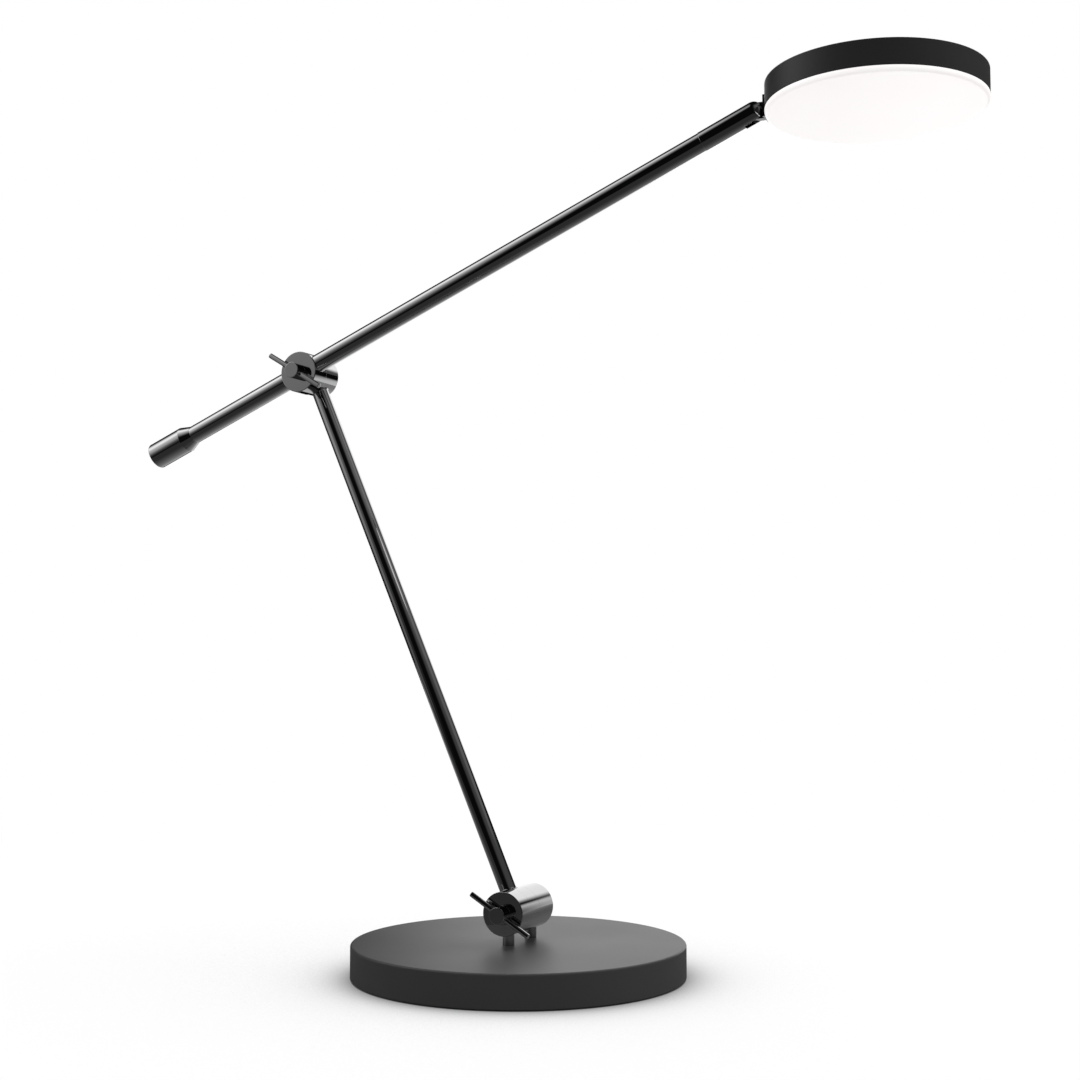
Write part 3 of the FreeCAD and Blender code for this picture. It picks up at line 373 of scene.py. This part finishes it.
def powder_paint(name, tone, roughness, grain_depth):
    """Satin powder coat: fine even grain, a soft orange-peel swell and slightly uneven sheen."""
    finish, tree, shader = shader_of(name, Metallic=0.0, Specular_IOR_Level=0.34)
    clouds = noise(tree, 14.0, 3.0, 0.5)
    grain = noise(tree, 2600.0, 2.0, 0.6)
    swell = noise(tree, 420.0, 2.0, 0.5)
    low, high = [tone * 0.93] * 3, [tone * 1.07] * 3
    speckle = between(tree, grain, -0.035, 0.035)
    sheen = sums(tree, "ADD", between(tree, clouds, *roughness), speckle)
    feed(tree, shader, shades(tree, clouds, low, high), sheen, [(swell, 1.6e-6), (grain, grain_depth)])
    return finish


def opal(name):
    """Opal acrylic lit from behind: white with a faint warm mottle, under a frosted skin."""
    finish, tree, shader = shader_of(name, Metallic=0.0, IOR=1.49, Emission_Strength=0.78)
    mottle = noise(tree, 30.0, 3.0, 0.5)
    frost = noise(tree, 1800.0, 2.0, 0.6)
    feed(tree, shader, shades(tree, mottle, (0.8, 0.785, 0.78), (0.84, 0.825, 0.82)),
         between(tree, frost, 0.32, 0.42), [(frost, 1.5e-6)])
    glow = shades(tree, mottle, (1.0, 0.955, 0.95), (1.0, 0.975, 0.972))
    tree.links.new(glow, shader.inputs["Emission Color"])
    return finish


def plain_metal(name, low, high, roughness, scale=60.0, stretch=(1.0, 1.0, 1.0), depth=4e-6, metallic=1.0):
    """Metal with drawn or cast grain: two shades, uneven gloss and a bump of the same grain."""
    finish, tree, shader = shader_of(name, Metallic=metallic)
    grain = noise(tree, scale, 5.0, 0.6, stretch=stretch)
    fine = noise(tree, scale * 12, 3.0, 0.6, stretch=stretch)
    feed(tree, shader, shades(tree, grain, low, high), between(tree, fine, *roughness),
         [(grain, depth * 4), (fine, depth)])
    return finish


def stuff(name, low, high, roughness, scale=120.0, depth=1e-5):
    """Rubber, plastic, fibre or tape: two shades and a grain in gloss and height."""
    return plain_metal(name, low, high, roughness, scale, depth=depth, metallic=0.0)


def circuit_board(name, low, high):
    """Solder mask over copper: blocky traces as cells, a shade lighter and standing a little proud."""
    finish, tree, shader = shader_of(name, Metallic=0.0)
    where = add(tree, "ShaderNodeTexCoord").outputs["Object"]
    cells = add(tree, "ShaderNodeTexVoronoi", {"distance": "CHEBYCHEV"}, Vector=where, Scale=260.0,
                Randomness=0.6)
    edge = between(tree, cells.outputs["Distance"], 0.0, 1.0, 0.25, 0.3)
    feed(tree, shader, shades(tree, edge, low, high, 0.0, 1.0), between(tree, edge, 0.28, 0.4, 0.0, 1.0),
         [(edge, 1.5e-5)])
    return finish


CHROME = chrome("polished_chrome")
CHROME_LOWER = chrome("polished_chrome_lower_tube", turn=(0.0, LOWER_LEAN, 0.0))
CHROME_UPPER = chrome("polished_chrome_upper_tube", turn=(0.0, UPPER_RISE - math.pi / 2, 0.0))
CHROME_BARREL = chrome("polished_chrome_barrels", turn=(math.pi / 2, 0.0, 0.0))
DARK_BRACKET = chrome("blackened_bracket", tone=0.12, haze=(0.22, 0.32))
FOOT_PAINT = powder_paint("foot_powder_coat", 0.082, (0.4, 0.46), 3.5e-6)
HEAD_PAINT = powder_paint("head_powder_coat", 0.05, (0.42, 0.5), 3.5e-6)
OPAL = opal("opal_acrylic")

FINISH_OF_SLOT = {
    "foot_paint": FOOT_PAINT,
    "head_paint": HEAD_PAINT,
    "black_chrome": CHROME,
    "opal": OPAL,
    "cast_ballast": plain_metal("cast_iron_ballast", (0.05, 0.05, 0.052), (0.11, 0.108, 0.105), (0.55, 0.8),
                                150.0, depth=2e-5, metallic=0.6),
    "zinc_steel": plain_metal("zinc_plated_steel", (0.5, 0.5, 0.49), (0.66, 0.66, 0.64), (0.28, 0.42), 400.0),
    "foot_rubber": stuff("foot_rubber_pad", (0.012, 0.012, 0.013), (0.03, 0.03, 0.031), (0.7, 0.9), 300.0),
    "board_green": circuit_board("driver_solder_mask", (0.01, 0.09, 0.035), (0.02, 0.16, 0.06)),
    "board_white": circuit_board("led_board_white_mask", (0.78, 0.78, 0.76), (0.86, 0.86, 0.84)),
    "spreader_aluminium": plain_metal("rolled_aluminium", (0.72, 0.73, 0.74), (0.82, 0.83, 0.84), (0.25, 0.4),
                                      40.0, stretch=(1.0, 12.0, 1.0)),
    "led_phosphor": stuff("led_phosphor", (0.75, 0.58, 0.12), (0.88, 0.7, 0.2), (0.3, 0.5), 900.0),
    "component_black": stuff("component_resin", (0.015, 0.015, 0.016), (0.04, 0.04, 0.042), (0.35, 0.55),
                             500.0),
    "adhesive_tape": stuff("foam_tape", (0.6, 0.59, 0.55), (0.75, 0.74, 0.7), (0.6, 0.8), 700.0, 3e-5),
    "cable_sheath": stuff("cable_sheath_silicone", (0.02, 0.02, 0.021), (0.045, 0.045, 0.046), (0.45, 0.6),
                          600.0),
    "washer_fibre": stuff("washer_fibre", (0.2, 0.17, 0.13), (0.32, 0.28, 0.22), (0.6, 0.8), 900.0, 2e-5),
}


def dress_frame():
    """Gives every CAD node the finish of its own slot in the record."""
    slot_of = {part["node"]: part["material_slot"] for part in frame["record"]["subparts"]}
    for name, node in frame["nodes"].items():
        finish = DARK_BRACKET if name == "head_bracket" else FINISH_OF_SLOT[slot_of[name]]
        if not node.material_slots:
            node.data.materials.append(finish)
        for slot in node.material_slots:
            slot.material = finish


# ---------------------------------------------------------------- pieces
def foot():
    """Drawn cover of the foot with its socket hole, and the two posts that stand on it."""
    inner = FOOT_RADIUS - COVER_WALL
    ceiling = FOOT_HEIGHT - COVER_WALL
    shell = turned(rounded([(0, ceiling), (inner, ceiling), (inner, COVER_LIFT), (FOOT_RADIUS, COVER_LIFT),
                            (FOOT_RADIUS, FOOT_HEIGHT), (0, FOOT_HEIGHT)],
                           [0.6, 0.25, 0.3, 1.2]), (0, 0, 0), UP, sides=256)
    hole = turned([(0, -SOCKET_CUT), (SOCKET_HOLE, -SOCKET_CUT), (SOCKET_HOLE, SOCKET_CUT), (0, SOCKET_CUT)],
                  (0, FOOT_RADIUS, SOCKET_Z), FRONT_TO_BACK, sides=48)
    place("foot_cover", carved("foot_cover", [shell], [hole]), "base", "foot_paint", FOOT_PAINT, "base_cover")
    for name, y in POST_PLACES:
        outline = rounded([(0, THREAD_END), (THREAD_RADIUS, THREAD_END), (THREAD_RADIUS, FOOT_HEIGHT),
                           (POST_RADIUS, FOOT_HEIGHT), (POST_RADIUS, POST_TOP), (0, POST_TOP)],
                          [0.3, 0.05, 0.15, 0.3])
        body = turned(outline, (0, y, 0), UP, sides=96)
        place(f"{name}_turned", mesh_of(name, [body]), "base", "black_chrome", CHROME, name)


def barrel_section(radius, front, back, front_edge, back_edge):
    """Round section of a joint from one face to the other, with its two edges rounded."""
    return rounded([(0, front), (radius, front), (radius, back), (0, back)], [front_edge, back_edge])


def foot_barrel():
    """Three sections of the foot joint's barrel."""
    for name, body, front, back in KNUCKLES:
        edges = (0.35 if name == "front_knuckle" else 0.03, 0.35 if name == "rear_knuckle" else 0.03)
        shape = turned(barrel_section(BARREL_RADIUS, front, back, *edges), (FOOT_HINGE[0], 0, FOOT_HINGE[2]),
                       FRONT_TO_BACK, sides=192)
        place(f"{name}_polished", mesh_of(name, [shape]), body, "black_chrome", CHROME_BARREL, name)


def clamp(name, body, hinge, face, bolt_end):
    """Hub and bolt of a clamp screw, and its plain cross bar."""
    seat = face - HUB_GAP
    front = seat - HUB_LENGTH
    outline = rounded([(0, front), (HUB_RADIUS, front), (HUB_RADIUS, seat), (BOLT_RADIUS, seat),
                       (BOLT_RADIUS, bolt_end), (0, bolt_end)], [0.3, 0.15, 0.05, 0.3])
    middle = (hinge[0], 0, hinge[2])
    place(f"{name}_hub", mesh_of(name, [turned(outline, middle, FRONT_TO_BACK, sides=128)]), body,
          "black_chrome", CHROME_BARREL, f"{name}_screw")
    slope = np.array([math.cos(CROSS_SLOPE), 0.0, -math.sin(CROSS_SLOPE)])
    cross = turned(rounded([(0, -CROSS_HALF), (CROSS_RADIUS, -CROSS_HALF), (CROSS_RADIUS, CROSS_HALF),
                            (0, CROSS_HALF)], 0.3), (hinge[0], face - CROSS_STAND, hinge[2]), slope, sides=64)
    place(f"{name}_cross_bar", mesh_of(name, [cross]), body, "black_chrome", CHROME, f"{name}_bar")


def lower_arm():
    """Lower tube between its two barrels, and the rear section of the elbow."""
    tube = coped_tube((FOOT_HINGE[0], LOWER_FORWARD, FOOT_HINGE[2]), LOWER_AXIS, LOWER_RADIUS, LOWER_LENGTH,
                      BARREL_RADIUS, ELBOW_REAR_RADIUS, 0.3)
    place("lower_tube_polished", mesh_of("lower_tube", [tube]), "lower_arm", "black_chrome",
          CHROME_LOWER, "lower_tube")
    rear = turned(barrel_section(ELBOW_REAR_RADIUS, ELBOW_SEAM[1], ELBOW_REAR_END, 0.1, 0.4),
                  (ELBOW[0], 0, ELBOW[2]), FRONT_TO_BACK, sides=192)
    place("elbow_rear_polished", mesh_of("elbow_rear", [rear]), "lower_arm", "black_chrome",
          CHROME_BARREL, "elbow_rear_section")


def upper_arm():
    """Clamp section of the elbow, upper tube, counterweight and forked end."""
    front = turned(barrel_section(ELBOW_FRONT_RADIUS, ELBOW_CLAMP_FACE, ELBOW_SEAM[0], 0.35, 0.1),
                   (ELBOW[0], 0, ELBOW[2]), FRONT_TO_BACK, sides=192)
    place("elbow_clamp_polished", mesh_of("elbow_clamp", [front]), "upper_arm", "black_chrome",
          CHROME_BARREL, "elbow_clamp")
    tube = turned(rounded([(0, UPPER_START), (UPPER_RADIUS, UPPER_START), (UPPER_RADIUS, UPPER_END),
                           (0, UPPER_END)], 0.12), UPPER_FOOT, UPPER_AXIS)
    place("upper_tube_polished", mesh_of("upper_tube", [tube]), "upper_arm", "black_chrome",
          CHROME_UPPER, "upper_tube")
    spigot_end = UPPER_START + SPIGOT_LENGTH
    weight = turned(rounded([(0, WEIGHT_END), (WEIGHT_RADIUS, WEIGHT_END), (WEIGHT_RADIUS, WEIGHT_SHOULDER),
                             (UPPER_RADIUS, UPPER_START), (SPIGOT_RADIUS, UPPER_START),
                             (SPIGOT_RADIUS, spigot_end), (0, spigot_end)],
                            [0.6, 0.25, 0.1, 0.05, 0.3]), UPPER_FOOT, UPPER_AXIS)
    place("counterweight_turned", mesh_of("counterweight", [weight]), "upper_arm", "black_chrome",
          CHROME_UPPER, "counterweight")
    dome = np.linspace(0, np.pi / 2, 25)[1:]
    sleeve = rounded([(0, UPPER_END), (FORK_RADIUS, UPPER_END), (FORK_RADIUS, FORK_PIVOT)], 0.15)
    cap = np.stack([FORK_RADIUS * np.cos(dome), FORK_PIVOT + FORK_RADIUS * np.sin(dome)], axis=1)
    cap[-1, 0] = 0.0
    stock = turned(np.vstack([sleeve, cap]), UPPER_FOOT, UPPER_AXIS)
    centre = UPPER_FOOT + FORK_PIVOT * UPPER_AXIS
    slot = box_shape(centre + (FORK_RADIUS - SLOT_DEPTH + CUTTER_PAST) / 2 * UPPER_AXIS,
                     (SLOT_DEPTH + FORK_RADIUS + CUTTER_PAST, SLOT_WIDTH, 4 * FORK_RADIUS))
    floor_of_sink = FORK_RADIUS - SINK_DEPTH
    past = FORK_RADIUS + CUTTER_PAST
    sink = turned([(0, floor_of_sink), (SINK_RADIUS, floor_of_sink), (SINK_RADIUS, past), (0, past)],
                  centre, FRONT_TO_BACK, sides=48)
    place("head_fork_polished", carved("head_fork", [stock], [slot, sink]), "upper_arm", "black_chrome",
          CHROME_UPPER, "head_fork")


def box_shape(centre, size):
    """Box square to the upper arm, half its size each way along the arm, along Y and along its normal."""
    corner = np.array([(x, y, z) for x in (-0.5, 0.5) for y in (-0.5, 0.5) for z in (-0.5, 0.5)]) * size
    points = centre + corner @ np.array([UPPER_AXIS, FRONT_TO_BACK, UPPER_NORMAL])
    quads = np.array([(0, 1, 3, 2), (4, 6, 7, 5), (0, 4, 5, 1), (2, 3, 7, 6), (0, 2, 6, 4), (1, 5, 7, 3)])
    return points, quads, np.empty((0, 3), int)


def head():
    """Flat drum of the head and its opal dish."""
    half = RIM_HEIGHT / 2
    inner = RIM_RADIUS - RIM_WALL
    drum = turned(rounded([(0, half - RIM_TOP), (inner, half - RIM_TOP), (inner, -half), (RIM_RADIUS, -half),
                           (RIM_RADIUS, half), (0, half)], [0.5, 0.25, 0.35, 0.45]), HEAD_CENTRE, UP, sides=256)
    place("head_drum", mesh_of("head_drum", [drum]), "head", "head_paint", HEAD_PAINT, "head_housing")
    bottom = -half - DIFFUSER_DROP
    lip = -half - LIP_GAP
    top = -half + DIFFUSER_RISE
    inner = DIFFUSER_RADIUS - DIFFUSER_WALL
    dish = turned(rounded([(0, bottom + DIFFUSER_WALL), (inner, bottom + DIFFUSER_WALL), (inner, top),
                           (DIFFUSER_RADIUS, top), (DIFFUSER_RADIUS, lip), (RIM_RADIUS, lip),
                           (RIM_RADIUS, bottom), (0, bottom)],
                          [0.8, 0.3, 0.3, 0.05, 0.15, DIFFUSER_EDGE], steps=12), HEAD_CENTRE, UP, sides=256)
    place("opal_dish", mesh_of("opal_dish", [dish]), "head", "opal", OPAL, "diffuser")


# ---------------------------------------------------------------- studio
CAMERA_PLACE = (0.432706, -0.882864, 0.189120)
CAMERA_TURN = (94.156, 0.0, 25.363)
CAMERA_LENS = 54.013


def camera():
    """Camera at the photograph's place, level from side to side."""
    lens = bpy.data.cameras.new("camera")
    lens.lens = CAMERA_LENS
    lens.sensor_width = 36.0
    lens.clip_start = 0.01
    lens.clip_end = 100.0
    holder = bpy.data.objects.new("camera", lens)
    bpy.context.scene.collection.objects.link(holder)
    holder.location = CAMERA_PLACE
    holder.rotation_euler = Euler([math.radians(angle) for angle in CAMERA_TURN])
    bpy.context.scene.camera = holder


def ray(tree, *kinds):
    """One if the ray is of any of these kinds, and zero if not."""
    path = add(tree, "ShaderNodeLightPath")
    total = path.outputs[kinds[0]]
    for kind in kinds[1:]:
        total = sums(tree, "MAXIMUM", total, path.outputs[kind])
    return total


FLOOR_RADIUS = 6.0
FLOOR_SIDES = 96
FLOOR_FADE = (0.35, 0.9)
FLOOR_DARK = 0.038
SHADE_REACH = 0.35
SHADE_DEPTH = 1.8
FLOOR_TOP_UP = 0.895
FLOOR_TONE = 0.13


def floor():
    """Pale round floor that takes the lamp's shadow and fades into the white room.

    What the camera sees of it is its paint under the lamps, with their real shadow, and a glow with a painted
    shadow:
    the glow darkens by ambient occlusion where the lamp on it hides the sky. The metal sees a painted reflection
    of it instead.
    """
    angle = np.linspace(0, 2 * np.pi, FLOOR_SIDES + 1)[:-1]
    points = FLOOR_RADIUS * np.stack([np.cos(angle), np.sin(angle), 0 * angle], axis=1)
    mesh = bpy.data.meshes.new("floor")
    mesh.from_pydata(points.tolist(), [], [list(range(FLOOR_SIDES))])
    ground = bpy.data.objects.new("floor", mesh)
    bpy.context.scene.collection.objects.link(ground)
    finish = bpy.data.materials.new("pale_floor")
    finish.use_nodes = True
    tree = finish.node_tree
    tree.nodes.clear()
    where = add(tree, "ShaderNodeTexCoord").outputs["Object"]
    far = add(tree, "ShaderNodeVectorMath", {"operation": "LENGTH"}, n0=where).outputs["Value"]
    fade = between(tree, far, 0.0, 1.0, *FLOOR_FADE)
    paint = add(tree, "ShaderNodeBsdfDiffuse", Color=(*[FLOOR_TONE] * 3, 1.0)).outputs[0]
    seen = ray(tree, "Is Camera Ray", "Is Transmission Ray")
    # Painted shadow: the glow below is dimmed by ambient occlusion near the lamp, not by light that is blocked.
    open_sky = add(tree, "ShaderNodeAmbientOcclusion", {"samples": 8}, Distance=SHADE_REACH).outputs["AO"]
    open_sky = sums(tree, "POWER", open_sky, SHADE_DEPTH)
    painted_shadow_glow = sums(tree, "MULTIPLY", sums(tree, "MULTIPLY", seen, open_sky), FLOOR_TOP_UP)
    lit = add(tree, "ShaderNodeAddShader", n0=paint,
              n1=add(tree, "ShaderNodeEmission", Strength=painted_shadow_glow).outputs[0]).outputs[0]
    white = add(tree, "ShaderNodeEmission", Strength=seen).outputs[0]
    whole = add(tree, "ShaderNodeMixShader", n0=fade, n1=lit, n2=white).outputs[0]
    # Painted reflection: glossy rays see a glow painted by position on the floor, not the lit floor.
    floor_reflection_seen = add(tree, "ShaderNodeEmission", Strength=painted_floor_reflection(tree, where)).outputs[0]
    whole = add(tree, "ShaderNodeMixShader", n0=ray(tree, "Is Glossy Ray"), n1=whole, n2=floor_reflection_seen).outputs[0]
    add(tree, "ShaderNodeOutputMaterial", Surface=whole)
    mesh.materials.append(finish)


def painted_floor_reflection(tree, where):
    """Painted reflection of the floor in the metal: dim to the front of the lamp and brighter behind it."""
    spot = add(tree, "ShaderNodeSeparateXYZ", Vector=where)
    back = smooth(tree, spot.outputs["Y"], -0.268, 0.776, 0.0, 0.62)
    side = smooth(tree, spot.outputs["X"], -0.313, 0.125, 1.0, 0.41)
    return sums(tree, "ADD", sums(tree, "MULTIPLY", back, side), FLOOR_DARK)


TENT_RADIUS = 0.95
TENT_MIDDLE = (0.0, 0.0, 0.25)
# Painted reflections of soft boxes on the tent: (azimuth, half width, its soft edge, low, low edge, high, high
# edge, strength), with azimuth from +Y towards +X and heights in degrees, as seen from the tent's middle.
PAINTED_REFLECTION_BOXES = (
    (-114.0, 1.0, 22.0, 33.7, 77.0, 65.0, 13.0, 0.39),
    (96.0, 20.0, 50.0, 49.6, 22.2, 60.0, 15.0, 0.09),
    (-8.0, 18.0, 12.0, -18.0, 4.0, 38.0, 24.0, 1.2),
    (-117.0, 5.0, 41.5, 74.0, 89.0, 63.7, 24.3, 0.66),
    (41.5, 31.7, 42.0, 20.8, 2.5, 53.0, 22.4, 0.1),
    (-102.6, 1.0, 17.0, 31.0, 21.9, 45.0, 20.4, 0.64),
    (100.6, 21.3, 36.0, 5.0, 11.0, 51.6, 27.8, 0.07),
    (14.0, 10.3, 6.0, -14.5, 14.0, -1.0, 7.0, 0.75),
)
TENT_DARK = 0.004


def tent():
    """Dark tent with painted reflections of soft boxes on it, which only the lamp's polished and satin faces
    mirror; it lights nothing.
    """
    rows, columns = 49, 96
    tilt = np.linspace(-np.pi / 2, np.pi / 2, rows)[:, None]
    angle = (np.arange(columns) * 2 * np.pi / columns)[None]
    grid = np.stack([np.cos(tilt) * np.cos(angle), np.cos(tilt) * np.sin(angle), np.sin(tilt) + 0 * angle],
                    axis=-1)
    grid[[0, -1], :, :2] = 0.0
    points, quads, triangles = closed_grid(grid * TENT_RADIUS)
    mesh = bpy.data.meshes.new("reflection_tent")
    mesh.from_pydata(points.tolist(), [], quads.tolist() + triangles.tolist())
    shell = bpy.data.objects.new("reflection_tent", mesh)
    bpy.context.scene.collection.objects.link(shell)
    shell.location = TENT_MIDDLE
    for kind in ("camera", "diffuse", "transmission", "volume_scatter", "shadow"):
        setattr(shell, f"visible_{kind}", False)
    finish = bpy.data.materials.new("reflection_tent")
    finish.use_nodes = True
    tree = finish.node_tree
    tree.nodes.clear()
    where = add(tree, "ShaderNodeTexCoord").outputs["Object"]
    outward = add(tree, "ShaderNodeVectorMath", {"operation": "NORMALIZE"}, n0=where).outputs[0]
    height = add(tree, "ShaderNodeSeparateXYZ", Vector=outward).outputs["Z"]
    level = add(tree, "ShaderNodeVectorMath", {"operation": "MULTIPLY"}, n0=outward,
                n1=(1.0, 1.0, 0.0)).outputs[0]
    level = add(tree, "ShaderNodeVectorMath", {"operation": "NORMALIZE"}, n0=level).outputs[0]
    total = TENT_DARK
    # Each painted reflection is a soft band in azimuth and height, times its strength, seen only in reflections.
    for azimuth, half, side_edge, low, low_edge, high, high_edge, strength in PAINTED_REFLECTION_BOXES:
        facing = (sine(azimuth), sine(90.0 - azimuth), 0.0)
        turn = add(tree, "ShaderNodeVectorMath", {"operation": "DOT_PRODUCT"}, n0=level,
                   n1=facing).outputs["Value"]
        glow = smooth(tree, turn, sine(90.0 - half - side_edge), sine(90.0 - half), 0.0, strength)
        rise = smooth(tree, height, sine(low - low_edge), sine(low), 0.0, 1.0)
        fall = smooth(tree, height, sine(high), sine(min(high + high_edge, 89.0)), 1.0, 0.0)
        glow = sums(tree, "MULTIPLY", sums(tree, "MULTIPLY", glow, rise), fall)
        total = sums(tree, "ADD", glow, total)
    add(tree, "ShaderNodeOutputMaterial", Surface=add(tree, "ShaderNodeEmission", Strength=total).outputs[0])
    mesh.materials.append(finish)


def sine(degrees):
    """Sine of an angle in degrees."""
    return math.sin(math.radians(degrees))


def smooth(tree, value, start, end, low, high):
    """Number that eases from low to high as value runs from start to end."""
    return add(tree, "ShaderNodeMapRange", {"interpolation_type": "SMOOTHSTEP"}, Value=value, n1=start, n2=end,
               n3=low, n4=high).outputs[0]


# Soft lamps: name, place, aim, size and power in watts
LAMPS = (
    ("top_lamp", (0.1, 0.7, 2.1), (0.0, 0.0, 0.1), 1.5, 20.0),
    ("left_lamp", (-1.7, -1.1, 1.2), (0.0, 0.0, 0.25), 1.2, 6.0),
    ("right_lamp", (1.7, 0.2, 1.2), (0.0, 0.0, 0.25), 1.2, 7.0),
)
WORLD_FILL = 0.42


def lights():
    """Soft area lamps and a white room that fills the shadows."""
    for name, spot, aim, size, power in LAMPS:
        lamp = bpy.data.lights.new(name, "AREA")
        lamp.shape = "DISK"
        lamp.size = size
        lamp.energy = power
        holder = bpy.data.objects.new(name, lamp)
        bpy.context.scene.collection.objects.link(holder)
        holder.location = spot
        towards = Vector(aim) - Vector(spot)
        holder.rotation_mode = "QUATERNION"
        holder.rotation_quaternion = towards.to_track_quat("-Z", "Y")
        holder.visible_camera = False
        holder.visible_glossy = False
    world = bpy.data.worlds.new("white_room")
    bpy.context.scene.world = world
    world.use_nodes = True
    tree = world.node_tree
    tree.nodes.clear()
    seen = ray(tree, "Is Camera Ray", "Is Glossy Ray", "Is Transmission Ray")
    strength = add(tree, "ShaderNodeMix", {"data_type": "FLOAT"}, n0=seen, n2=WORLD_FILL, n3=1.0).outputs[0]
    background = add(tree, "ShaderNodeBackground", Color=(1.0, 1.0, 1.0, 1.0), Strength=strength).outputs[0]
    add(tree, "ShaderNodeOutputWorld", Surface=background)


# ---------------------------------------------------------------- scene
bpy.context.scene.view_settings.view_transform = "Standard"
dress_frame()
foot()
foot_barrel()
clamp("foot_clamp", "foot_clamp", FOOT_HINGE, FOOT_CLAMP_FACE, FOOT_BOLT_END)
lower_arm()
clamp("elbow_clamp", "elbow_clamp_handle", ELBOW, ELBOW_CLAMP_FACE, ELBOW_BOLT_END)
upper_arm()
head()
camera()
floor()
tent()
lights()
